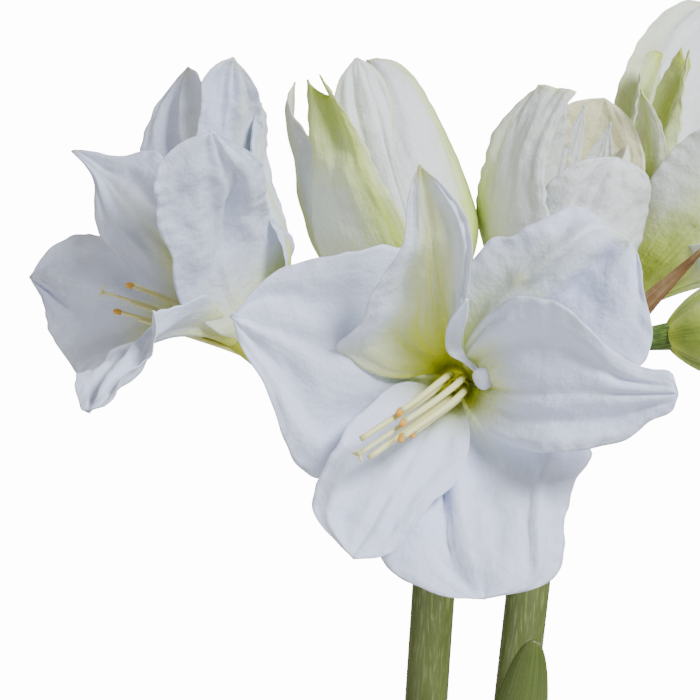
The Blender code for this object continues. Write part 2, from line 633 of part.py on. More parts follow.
def make_leaf(name, leaf, surface):
    """A strap leaf: a shallow channel that rises from the neck and arches outward."""
    root = np.array([*leaf.root, SOCKET_FLOOR + CLEAR])
    tip = np.array(leaf.tip)

    def spine(along):
        along = np.clip(along, 0, 1)
        level = root[:2] + np.outer(along**leaf.spread, tip[:2] - root[:2])
        height = root[2] + (tip[2] - root[2]) * along + leaf.arch * np.sin(math.pi * along)
        return np.column_stack([level, height])

    def place(across, along):
        facing = np.radians(smooth(leaf.facing, ease(along * 1.6)))
        width_way = np.column_stack([np.cos(facing), np.sin(facing), 0 * facing])
        ahead = spine(along + 0.01) - spine(along - 0.01)
        inward = np.cross(ahead, width_way)
        inward /= np.linalg.norm(inward, axis=-1, keepdims=True)
        share = smooth((0.50, 0.72, 0.94, 1.0, 1.0, 0.94, 0.84), along)
        half = leaf.width / 2 * share * np.maximum(1 - along**14, 0.004)**0.5
        trough = inward * (LEAF_TROUGH * half * across**2)[:, None]
        return spine(along) + width_way * (across * half)[:, None] + trough
    return sheet(name, *LEAF_GRID, place, LEAF_THICKNESS, surface)


def pot_inside(height):
    """Inner radius of the pot at a height."""
    lean = (POT_MOUTH_RADIUS - POT_FOOT_RADIUS) / POT_HEIGHT
    return POT_FOOT_RADIUS + lean * height - POT_WALL


def make_pot(surface):
    """A plain tapered pot with a flat foot and a rounded lip."""
    lip = POT_MOUTH_RADIUS - POT_WALL / 2
    lip_arc = [(lip + POT_LIP * math.cos(turn), POT_HEIGHT - POT_LIP + POT_LIP * math.sin(turn))
               for turn in np.linspace(0, math.pi, 5)]
    profile = [(0, 0), (POT_FOOT_RADIUS - 0.002, 0), (POT_FOOT_RADIUS, 0.002), *lip_arc,
               (pot_inside(POT_WALL), POT_WALL), (0, POT_WALL)]
    return turned("pot", profile, POT_STEPS, surface)


def bulb_outline(count):
    """The bulb's side from its base to the top of its neck, as radius and height."""
    return smooth(BULB_SIDE, np.linspace(0, 1, count))


def make_soil(surface):
    """Soil that fills the pot round the bulb, a little lower in the middle than at the pot."""
    floor = POT_WALL + CLEAR
    gap = 2 * CLEAR
    cup = [(radius + gap, height - gap * 0.5) for radius, height in bulb_outline(BULB_ROWS)
           if height < SOIL_TOP - SOIL_DIP]
    profile = [(0, floor), (pot_inside(floor) - CLEAR, floor),
               (pot_inside(SOIL_TOP) - CLEAR, SOIL_TOP),
               (POT_FOOT_RADIUS, SOIL_TOP - 0.5 * SOIL_DIP),
               *reversed(cup), (0, BULB_BOTTOM - gap)]
    return turned("soil", profile, BULB_STEPS, surface)


def make_bulb(surface):
    """The bulb with a round socket in its neck, in which scapes and leaves stand."""
    profile = [(0, BULB_BOTTOM), *bulb_outline(BULB_ROWS), (SOCKET_RADIUS, NECK_TOP),
               (SOCKET_RADIUS, SOCKET_FLOOR), (0, SOCKET_FLOOR)]
    return turned("bulb", profile, BULB_STEPS, surface)


def main():
    for old in list(bpy.data.objects):
        bpy.data.objects.remove(old)
    glaze = material("pot glaze", (0.78, 0.77, 0.74), 0.25)
    peat = material("peat soil", (0.05, 0.03, 0.02), 0.95)
    bulb_skin = material("bulb skin", (0.30, 0.16, 0.08), 0.7)
    stem_green = material("scape green", (0.24, 0.34, 0.10), 0.45)
    leaf_green = material("leaf green", (0.08, 0.20, 0.04), 0.35)
    petal_white = material("petal white", (0.80, 0.82, 0.86), 0.5)
    bud_white = material("bud green white", (0.66, 0.74, 0.48), 0.5)
    cream = material("filament cream", (0.80, 0.76, 0.45), 0.55)
    papery = material("spathe brown", (0.36, 0.20, 0.08), 0.8)

    make_pot(glaze)
    make_soil(peat)
    make_bulb(bulb_skin)
    for name, stem in STEMS.items():
        make_scape(name, stem, stem_green)
    for name, (path, valves) in SPATHES.items():
        make_spathe(name, path, valves, papery)
    for name, leaf in LEAVES.items():
        make_leaf(name, leaf, leaf_green)
    for name, bloom in BLOOMS.items():
        is_open = name in ("bloom_front", "bloom_left")
        columns, rows = OPEN_PETAL_GRID if is_open else PETAL_GRID
        make_bloom(name, bloom, petal_white if is_open else bud_white, columns, rows)
    for name, stamens in STAMENS.items():
        make_stamens(name, stamens, cream)


main()
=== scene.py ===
# %% [markdown]
# # A white amaryllis in its pot
#
# The measured model holds every piece of this plant as a plain solid at its real size. This lesson
# dresses it: each flower, stem, leaf and the pot gets a finer mesh that keeps the solid's place and
# form, and a finish made of shader nodes. Everything is in metres, +Z is up, and the largest flower
# faces the viewer, who looks along +Y.

# %% Load the measured model
import math
import random
from dataclasses import dataclass

import bmesh
import bpy
import numpy as np
from mathutils import Matrix, Vector, noise


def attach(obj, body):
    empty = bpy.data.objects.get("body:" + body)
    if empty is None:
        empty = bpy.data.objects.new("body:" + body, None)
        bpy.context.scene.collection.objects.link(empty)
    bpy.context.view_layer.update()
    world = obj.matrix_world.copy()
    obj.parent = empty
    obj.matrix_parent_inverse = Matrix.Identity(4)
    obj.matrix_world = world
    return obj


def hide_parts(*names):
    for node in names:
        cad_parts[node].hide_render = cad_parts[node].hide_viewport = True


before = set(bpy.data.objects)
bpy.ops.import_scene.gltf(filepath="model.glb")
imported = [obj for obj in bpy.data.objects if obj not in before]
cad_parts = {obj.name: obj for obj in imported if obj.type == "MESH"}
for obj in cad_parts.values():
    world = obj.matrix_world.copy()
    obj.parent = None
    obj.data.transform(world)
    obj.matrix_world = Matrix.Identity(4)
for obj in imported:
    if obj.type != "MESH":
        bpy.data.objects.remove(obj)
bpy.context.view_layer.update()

# %% [markdown]
# ## The camera
#
# The photograph was taken level with the flowers, straight on, with a long lens. A long lens hardly
# changes the size of what is nearer, so the petals keep their true proportions. The camera stands
# 1.5 m from the stems, and its lens is worked out from the 28 cm that the picture spans there.

# %% Set the camera
VIEW_MIDDLE = (-0.030, 0.540)       # X and Z of the picture's middle
VIEW_DISTANCE = 1.5
VIEW_SPAN = 0.280
SENSOR_WIDTH = 36.0

camera_data = bpy.data.cameras.new("camera")
camera_data.sensor_width = SENSOR_WIDTH
camera_data.lens = SENSOR_WIDTH * VIEW_DISTANCE / VIEW_SPAN
camera = bpy.data.objects.new("camera", camera_data)
camera.location = (VIEW_MIDDLE[0], -VIEW_DISTANCE, VIEW_MIDDLE[1])
camera.rotation_euler = (math.pi / 2, 0, 0)
bpy.context.scene.collection.objects.link(camera)
bpy.context.scene.camera = camera
print("lens:", round(camera_data.lens), "mm")

# %% [markdown]
# ## Light
#
# White petals on a white ground need soft light with a direction, or their folds disappear. The
# world gives an even, slightly warm fill and stays plain white behind the flowers. One lamp at the
# upper right shapes the petals, a weak one at the left keeps the shaded sides open, and one behind
# lets the thin petal edges glow.

# %% Set the lamps
def soft_lamp(name, place, size, power, colour):
    """A square area lamp that faces the flowers."""
    data = bpy.data.lights.new(name, "AREA")
    data.shape = "SQUARE"
    data.size = size
    data.energy = power
    data.color = colour
    lamp = bpy.data.objects.new(name, data)
    lamp.location = place
    lamp.rotation_euler = (FLOWERS_MIDDLE - Vector(place)).to_track_quat("-Z", "Y").to_euler()
    bpy.context.scene.collection.objects.link(lamp)


FLOWERS_MIDDLE = Vector((0.0, 0.0, 0.56))
soft_lamp("key lamp", (0.80, -1.10, 1.35), 0.5, 47, (0.90, 0.95, 1.0))
soft_lamp("fill lamp", (-1.2, -0.9, 0.7), 1.0, 4.2, (0.95, 0.96, 1.0))
soft_lamp("back lamp", (-0.3, 1.2, 1.3), 0.8, 9, (1.0, 0.99, 0.95))

# %% Set the world
FILL = {"Color": (1.0, 0.93, 0.79, 1.0), "Strength": 0.30}
BACKDROP = {"Color": (1.0, 1.0, 1.0, 1.0), "Strength": 14.0}
world = bpy.data.worlds.new("studio")
world.use_nodes = True
bpy.context.scene.world = world
sky = world.node_tree
grounds = (sky.nodes["Background"], sky.nodes.new("ShaderNodeBackground"))
which = sky.nodes.new("ShaderNodeMixShader")
for number, (ground, settings) in enumerate(zip(grounds, (FILL, BACKDROP)), 1):
    for name, value in settings.items():
        ground.inputs[name].default_value = value
    sky.links.new(ground.outputs[0], which.inputs[number])
seen_directly = sky.nodes.new("ShaderNodeLightPath")
sky.links.new(seen_directly.outputs["Is Camera Ray"], which.inputs[0])
sky.links.new(which.outputs[0], sky.nodes["World Output"].inputs["Surface"])

# %% [markdown]
# ## Shader maths as Python
#
# A procedural finish is mostly arithmetic on masks. Blender does it with Math nodes, one for each
# sign. The class below wraps a node's output, so that `1 - mask * 0.5` adds those nodes by itself.
# Colours keep their own node, because a Math node would turn them grey.

# %% Wrap a node's output
class Wire:
    """A node's output that takes part in sums."""

    def __init__(self, finish, socket):
        self.finish = finish
        self.socket = socket

    def maths(self, operation, *values):
        return self.finish.node("ShaderNodeMath", {"operation": operation}, dict(enumerate(values)))

    def __add__(self, other):
        return self.maths("ADD", self, other)

    def __sub__(self, other):
        return self.maths("SUBTRACT", self, other)

    def __rsub__(self, other):
        return self.maths("SUBTRACT", other, self)

    def __mul__(self, other):
        return self.maths("MULTIPLY", self, other)

    __radd__ = __add__
    __rmul__ = __mul__

    def ramp(self, low, high):
        """0 at low, 1 at high, soft in between; low may be the larger."""
        return self.finish.node("ShaderNodeMapRange", {"interpolation_type": "SMOOTHSTEP"},
                                {"Value": self, "From Min": low, "From Max": high})


# %% Wrap a material
class Finish:
    """A material with one Principled shader, whose other nodes come from one method."""

    def __init__(self, name, specular, subsurface=0.0, scatter=(1.0, 1.0, 1.0), depth=0.002, **more):
        """Light enters the skin by the share subsurface, and spreads as deep as depth, by colour."""
        self.material = bpy.data.materials.new(name)
        self.material.use_nodes = True
        self.tree = self.material.node_tree
        self.shader = self.tree.nodes["Principled BSDF"]
        self.paint(Specular_IOR_Level=specular, Subsurface_Weight=subsurface, Subsurface_Radius=scatter,
                   Subsurface_Scale=depth, **more)

    def node(self, kind, settings, inputs, output=0):
        made = self.tree.nodes.new(kind)
        for name, value in settings.items():
            if name == "stops":
                self.set_stops(made.color_ramp, value)
            else:
                setattr(made, name, value)
        for name, value in inputs.items():
            self.feed(made.inputs[name], value)
        return Wire(self, made.outputs[output])

    def feed(self, socket, value):
        if isinstance(value, Wire):
            self.tree.links.new(value.socket, socket)
        else:
            socket.default_value = value

    @staticmethod
    def set_stops(ramp, stops):
        for element, (position, colour) in zip(ramp.elements, (stops[0], stops[-1])):
            element.position = position
            element.color = (*colour, 1)
        for position, colour in stops[1:-1]:
            ramp.elements.new(position).color = (*colour, 1)

    def mix(self, factor, first, second, blend="MIX"):
        """Mixes two colours; sockets 6 and 7 are the Mix node's colour inputs."""
        first = first if isinstance(first, Wire) else (*first, 1)
        second = second if isinstance(second, Wire) else (*second, 1)
        return self.node("ShaderNodeMix", {"data_type": "RGBA", "blend_type": blend},
                         {0: factor, 6: first, 7: second}, 2)

    def gradient(self, factor, stops):
        return self.node("ShaderNodeValToRGB", {"stops": stops}, {0: factor})

    def attribute(self, name):
        return self.node("ShaderNodeAttribute", {"attribute_name": name}, {}, "Fac")

    def places(self):
        return self.node("ShaderNodeTexCoord", {}, {}, "Object")

    def parts(self, vector):
        """The x, y and z of a vector."""
        apart = self.node("ShaderNodeSeparateXYZ", {}, {0: vector})
        return [Wire(self, output) for output in apart.socket.node.outputs]

    def blade(self):
        """Across and along, 0..1, from the piece's own UV map."""
        return self.parts(self.node("ShaderNodeUVMap", {"uv_map": "Blade"}, {}))[:2]

    def spot(self, x, y, z):
        return self.node("ShaderNodeCombineXYZ", {}, {0: x, 1: y, 2: z})

    def cloud(self, place, scale, detail=2.0, rough=0.5):
        """Noise between 0 and 1."""
        return self.node("ShaderNodeTexNoise", {},
                         {"Vector": place, "Scale": scale, "Detail": detail, "Roughness": rough})

    def grain(self, scale, detail=2.0, rough=0.5):
        """Noise at the piece's own places."""
        return self.cloud(self.places(), scale, detail, rough)

    def bump(self, height, strength, distance, under=None):
        inputs = {"Height": height, "Strength": strength, "Distance": distance}
        if under is not None:
            inputs["Normal"] = under
        return self.node("ShaderNodeBump", {}, inputs)

    def paint(self, **sockets):
        for name, value in sockets.items():
            self.feed(self.shader.inputs[name.replace("_", " ")], value)
        return self.material


# %% [markdown]
# ## Curves through a few values
#
# Petals, leaves and stems are described by a handful of values from root to tip, such as how wide or
# how open they are. One smooth curve through those values gives as many rows of a mesh as needed.

# %% Read smooth curves
STEP = 0.01                 # share of a path to either side of a place where its direction is read


def smooth(stations, t):
    """Values spaced evenly from root to tip, read at t in 0..1 along one smooth curve."""
    values = np.asarray(stations, float)
    spot = np.clip(np.asarray(t, float), 0, 1) * (len(values) - 1)
    index = np.minimum(spot.astype(int), len(values) - 2)
    part = (spot - index).reshape(spot.shape + (1,) * (values.ndim - 1))
    here, after = values[index], values[index + 1]
    inside_low = (index > 0).reshape(part.shape)
    inside_high = (index < len(values) - 2).reshape(part.shape)
    before = np.where(inside_low, values[np.maximum(index - 1, 0)], 2 * here - after)
    beyond = np.where(inside_high, values[np.minimum(index + 2, len(values) - 1)], 2 * after - here)
    leave, arrive = (after - before) / 2, (beyond - here) / 2
    return ((2 * part**3 - 3 * part**2 + 1) * here + (part**3 - 2 * part**2 + part) * leave
            + (3 * part**2 - 2 * part**3) * after + (part**3 - part**2) * arrive)


def heading(stations, t, step=STEP):
    """Which way the curve runs at t."""
    return smooth(stations, t + step) - smooth(stations, t - step)


def ease(t):
    """A soft step from 0 to 1."""
    t = np.clip(t, 0, 1)
    return t * t * (3 - 2 * t)


def unit(vector):
    vector = np.asarray(vector, float)
    return vector / np.linalg.norm(vector, axis=-1, keepdims=True)


def polar(radius, turn, height):
    """Points at a radius, a turn about z and a height."""
    return np.stack(np.broadcast_arrays(radius * np.cos(turn), radius * np.sin(turn), height), -1)


def spread(middle, sway, sideways, rise, upwards):
    """Points moved off a middle line by sway in one direction and by rise in another."""
    return middle + sway[..., None] * sideways + rise[..., None] * upwards


def wander(x, y, z):
    """Smooth noise between -1 and 1 at arrays of places."""
    places = np.stack(np.broadcast_arrays(x, y, z), -1).reshape(-1, 3)
    return np.array([noise.noise(place) for place in places.tolist()])


# %% [markdown]
# ## Sheets and tubes
#
# Every blade of the plant starts as a flat grid from one bmesh operator, which also lays out its UV
# map. A formula then moves the grid's vertices to their place. A tube is the same grid rolled round a
# path, and a ring is one rolled round an axis, with its seam merged. Vertices carry a few named
# values, such as how green they are, which the finishes read.

# %% Start, shape and finish a mesh
TRAITS = ("green", "cream", "seed", "glow")
MERGE_WITHIN = 1e-7


def piece_of(builder, name, finish):
    """A smooth object made of a bmesh, which is used up."""
    mesh = bpy.data.meshes.new(name)
    builder.to_mesh(mesh)
    builder.free()
    mesh.shade_smooth()
    mesh.materials.append(finish)
    piece = bpy.data.objects.new(name, mesh)
    bpy.context.scene.collection.objects.link(piece)
    return piece


class Sheets:
    """One mesh that grids are added to, with a UV map and named values on its vertices."""

    def __init__(self):
        self.builder = bmesh.new()
        self.builder.loops.layers.uv.new("Blade")
        self.traits = {name: self.builder.verts.layers.float.new(name) for name in TRAITS}
        self.body = self.builder.verts.layers.deform.verify()

    def grid(self, columns, rows):
        """A new grid; returns its vertices and where they lie: across -1..1 and along 0..1."""
        verts = bmesh.ops.create_grid(self.builder, x_segments=columns, y_segments=rows, size=1.0,
                                      calc_uvs=True)["verts"]
        spots = np.array([vert.co[:2] for vert in verts])
        return verts, spots[:, 0], (spots[:, 1] + 1) / 2

    def move(self, verts, points, thickness=None, **traits):
        for vert, point in zip(verts, points):
            vert.co = point
        for name, values in traits.items():
            layer = self.traits[name]
            for vert, value in zip(verts, np.broadcast_to(values, len(verts))):
                vert[layer] = float(value)
        if thickness is not None:
            for vert, value in zip(verts, np.broadcast_to(thickness, len(verts))):
                vert[self.body][0] = float(value)

    def merge(self, verts):
        bmesh.ops.remove_doubles(self.builder, verts=verts, dist=MERGE_WITHIN)

    def ring(self, columns, rows, side, thickness, place, **traits):
        """A grid rolled round an axis. side gives radius and height, and place puts the points."""
        verts, across, along = self.grid(columns, rows)
        radius, height = side(across, along)
        self.move(verts, place(polar(radius, math.pi * across, height)), thickness, **traits)
        self.merge(verts)

    def tube(self, path, radii, sides, lobes=0, depth=0.0, row_values=None, **traits):
        """A grid rolled round a path. Lobes raise that many ribs by a share of the radius."""
        path = np.asarray(path, float)
        radii = np.broadcast_to(np.asarray(radii, float), len(path))
        ahead = unit(np.gradient(path, axis=0))
        out = np.eye(3)[np.argmin(np.abs(ahead[0]))]
        outs = []
        for way in ahead:
            out = unit(out - out.dot(way) * way)
            outs.append(out)
        outs = np.array(outs)
        ups = np.cross(ahead, outs)
        verts, across, along = self.grid(sides, len(path) - 1)
        row = np.rint(along * (len(path) - 1)).astype(int)
        angle = math.pi * (1 - across)
        radius = radii[row] * (1 + depth * np.cos(lobes * angle))
        points = spread(path[row], radius * np.cos(angle), outs[row], radius * np.sin(angle), ups[row])
        for name, values in (row_values or {}).items():
            traits[name] = np.asarray(values)[row]
        self.move(verts, points, **traits)
        self.merge(verts)
        left = [vert for vert in verts if vert.is_valid]
        rims = {edge for vert in left for edge in vert.link_edges if edge.is_boundary}
        bmesh.ops.holes_fill(self.builder, edges=list(rims), sides=0)

    def finished(self, name, finish, wall=None):
        """The piece. Its wall is thinner where the vertices' weight is low."""
        piece = piece_of(self.builder, name, finish)
        if wall is not None:
            piece.vertex_groups.new(name="Thickness")
            solid = piece.modifiers.new("Thickness", "SOLIDIFY")
            solid.thickness = wall
            solid.offset = 0.0
            solid.vertex_group = "Thickness"
        return piece


def dressed(piece, slot, *nodes):
    """Puts a finished piece in the model: on its body and in place of its solids. slot is not used."""
    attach(piece, "root")
    if nodes:
        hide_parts(*nodes)
    print(piece.name, "faces:", len(piece.data.polygons))
    return piece


# %% [markdown]
# ## The shape of a petal
#
# An amaryllis petal grows as a blade with a midrib. It leaves the flower's tube steeply, opens, and
# bends back towards its tip. So the midrib is a path whose angle to the flower's axis comes from a
# few values, and the blade is spread to both sides of it. Near the root it wraps round the axis,
# further out it rolls in or out at its margins. The measured model uses the same formula with few
# rows. Here many rows carry what it leaves out: the groove of the midrib, soft lengthwise folds,
# small scallops of the margin and the pointed nib.

# %% Describe petals and blooms
TUBE_LENGTH = 0.012
TUBE_FOOT_RADIUS = 0.0046
TUBE_MOUTH_RADIUS = 0.0062
TUBE_WALL = 0.0013
OUTER_ROOT = 0.0061         # an outer petal's distance from the axis at its root
OVAL = (32, 62, 90, 100, 94, 74)
EVEN = 60                   # a tip that its outline's own last values shape


@dataclass
class Fold:
    """A lengthwise ridge of a petal: positive heights rise towards the flower's axis."""
    at: float               # its place across the petal at its start, -1..1
    to: float               # and at its end
    height: float
    width: float = 0.16     # half its width, as a share of the half petal
    start: float = 0.0
    end: float = 1.0


@dataclass
class Petal:
    """One petal, in its bloom's own frame: z runs out of the flower, turns are about z."""
    turn: float                     # degrees round the flower at the root
    length: float
    width: float
    opening: tuple                  # degrees between petal and flower axis, root to tip
    left: tuple = OVAL              # percent of the half width, root to tip, on the later-turn side
    right: tuple = OVAL
    curl_left: tuple = (0, 0, 0)    # degrees that the margin rolls inward, root to tip
    curl_right: tuple = (0, 0, 0)
    hug: float = 0.45               # share of the length that wraps round the flower axis
    swing: float = 0.0              # degrees that the tip turns round the flower
    roll: tuple = (0, 0)            # degrees that the blade twists about its midrib
    ruffle: float = 0.0015
    waves: float = 2.5
    phase: float = 0.0
    root: float = 0.0046            # distance from the flower axis at the root
    point: float = 0.55             # how sharp the tip is
    blunt: float = 7.0              # how late the tip starts
    nib: float = 0.75               # how much the last few millimetres draw in to a point
    notch: float = 0.0              # share of the length by which the middle of the tip falls short
    slant: float = 0.0              # share of the length by which the right side falls short
    groove: float = 0.0011          # depth of the midrib's groove
    folds: tuple = ()
    scallop: float = 0.035          # share by which the margin's edge wanders
    green: float = 1.0              # strength of the green at its foot
    rib_green: float = 0.0          # strength of a green band from root to tip
    green_at: float = 0.0           # where across the petal that band lies, -1..1
    tint: float = 0.0               # green all over
    tip_green: float = 0.0          # green of the outer third
    cream: float = 0.0              # strength of cream at its margins
    ivory: float = 0.0              # strength of cream all over


@dataclass
class Bloom:
    base: tuple
    axis: tuple
    petals: tuple
    zero: tuple = (0, -1, 0)        # the direction of turn 0, towards the viewer by default


def frame_of(bloom):
    """Rows are the bloom's x, y and z directions."""
    out = unit(bloom.axis)
    first = np.array(bloom.zero, float)
    first = unit(first - first.dot(out) * out)
    return np.stack([first, np.cross(out, first), out])


def into_place(points, bloom):
    """Points of a bloom's own frame, in the model's frame."""
    return points @ frame_of(bloom) + np.array(bloom.base)


# %% Run a petal's midrib
RIB_STEPS = 241


def midrib_of(petal):
    """Points, lean and turn along a petal's midrib."""
    steps = np.linspace(0, 1, RIB_STEPS)
    lean = np.radians(smooth(petal.opening, steps))
    turn = np.radians(petal.turn + petal.swing * steps**2)
    ahead = polar(np.sin(lean), turn, np.cos(lean))
    pieces = (ahead[1:] + ahead[:-1]) / 2 * petal.length / (RIB_STEPS - 1)
    start = np.array([petal.root * math.cos(turn[0]), petal.root * math.sin(turn[0]), 0.0])
    return steps, np.vstack([start, start + np.cumsum(pieces, 0)]), lean, turn


# %% Spread a petal to both sides
SIDE_TO_SIDE = 0.96         # half the angle in radians that a petal may take up at the throat
NARROWEST = 0.0012          # width of a petal's last row
NIB_START = 0.955
NOTCH_HALF = 0.5            # half a notch's width, as a share of the half petal
SCALLOP_SCALE = 13.0        # scallops along a margin
MOST_WRAP = 2.0             # radians
FLATTEST = 0.001


def petal_points(petal, across, along, seed):
    """Points of a petal: across is -1..1 from margin to margin, along is 0..1 from root to tip."""
    steps, rib, lean, turn = midrib_of(petal)
    short = petal.notch * along**8 * np.exp(-(across / NOTCH_HALF)**2)
    along = along * (1 - short - petal.slant * along**6 * (1 - across) / 2)
    midrib = np.stack([np.interp(along, steps, rib[:, k]) for k in range(3)], -1)
    lean = np.interp(along, steps, lean)
    turn = np.interp(along, steps, turn)
    sideways = np.stack([-np.sin(turn), np.cos(turn), 0 * turn], -1)
    inward = polar(-np.cos(lean), turn, np.sin(lean))
    twist = np.radians(smooth(petal.roll, along))[..., None]
    width_way = np.cos(twist) * sideways + np.sin(twist) * inward
    cup_way = np.cos(twist) * inward - np.sin(twist) * sideways

    side = np.where(across >= 0, 1.0, -1.0)
    share = np.where(across >= 0, *(smooth(np.divide(one, 100), along) for one in (petal.left, petal.right)))
    share = share * (1 + petal.scallop * ease(along / 0.3) * wander(along * SCALLOP_SCALE, side * 3, seed))
    taper = np.maximum(1 - along**petal.blunt, 0)**petal.point
    nib = 1 - petal.nib * ease((along - NIB_START) / (1 - NIB_START))
    half = np.maximum(petal.width / 2 * share * taper * nib, NARROWEST / 2)
    radius = np.hypot(midrib[..., 0], midrib[..., 1])
    wrapped = ease(1.4 * (1 - along / petal.hug)) if petal.hug < 1 else np.ones_like(along)
    half = half + wrapped * (np.minimum(half, SIDE_TO_SIDE * radius) - half)
    curl = np.where(across >= 0, smooth(petal.curl_left, along), smooth(petal.curl_right, along))
    cup = np.minimum(wrapped * half / radius, MOST_WRAP) + np.radians(curl)
    cup = np.where(np.abs(cup) < FLATTEST, FLATTEST, cup)
    sway = half * np.sin(cup * across) / cup
    rise = half * (1 - np.cos(cup * across)) / cup + relief(petal, across, along, side, half, seed)
    return spread(midrib, sway, width_way, rise, cup_way)


# %% Raise a petal's ruffles, crumples, groove and folds
RUFFLED_HALF = 0.014        # half width from which a margin ruffles fully
MARGIN_LAG = 0.37           # share of a wave by which the right margin lags behind the left
FRILL = 0.0005
FRILL_WAVES = 15.0
CRUMPLES = ((0.0028, 1.5, 3.4), (0.0014, 3.6, 8.5), (0.0005, 9.0, 19.0))    # height, across, along
GROOVE_HALF = 0.09
FOLD_FADE = 0.2             # share of a fold's length over which it rises


def relief(petal, across, along, side, half, seed):
    """How far a petal's surface stands above its smooth cup."""
    out = np.abs(across)
    full = np.minimum(half / RUFFLED_HALF, 1)
    opened = full * ease((along - 0.2) / 0.5)
    wave = np.sin(2 * math.pi * (petal.waves * along + petal.phase + MARGIN_LAG * side))
    rise = petal.ruffle * opened * out**2.2 * wave
    rise = rise + FRILL * opened * out**6 * np.sin(2 * math.pi * FRILL_WAVES * along + 3 * side)
    for height, wide, long in CRUMPLES:
        rise = rise + height * opened * wander(across * wide, along * long, seed)
    rise = rise - petal.groove * full * np.exp(-(across / GROOVE_HALF)**2) * ease(along / 0.25)
    for fold in petal.folds:
        spot = (along - fold.start) / (fold.end - fold.start)
        place = fold.at + (fold.to - fold.at) * np.clip(spot, 0, 1)
        present = ease(spot / FOLD_FADE) * ease((1 - spot) / FOLD_FADE)
        rise = rise + fold.height * present * np.exp(-((across - place) / fold.width)**2)
    return rise


# %% [markdown]
# ## The blooms
#
# Each flower has six petals: three outer ones, broad, and three inner ones that lie in front of
# them. Small strips and ribbons stand among them where the photograph shows some. Most turns,
# lengths and openings are those of the measured model, so the dressed petals lie on its solids or a
# few millimetres off. The large front flower is the one that the viewer studies, so its outlines
# have the most values.

# %% A short way to write an outer petal
def outer(*shape, **rest):
    """An outer petal stands further from the axis at its root."""
    return Petal(*shape, root=OUTER_ROOT, **rest)


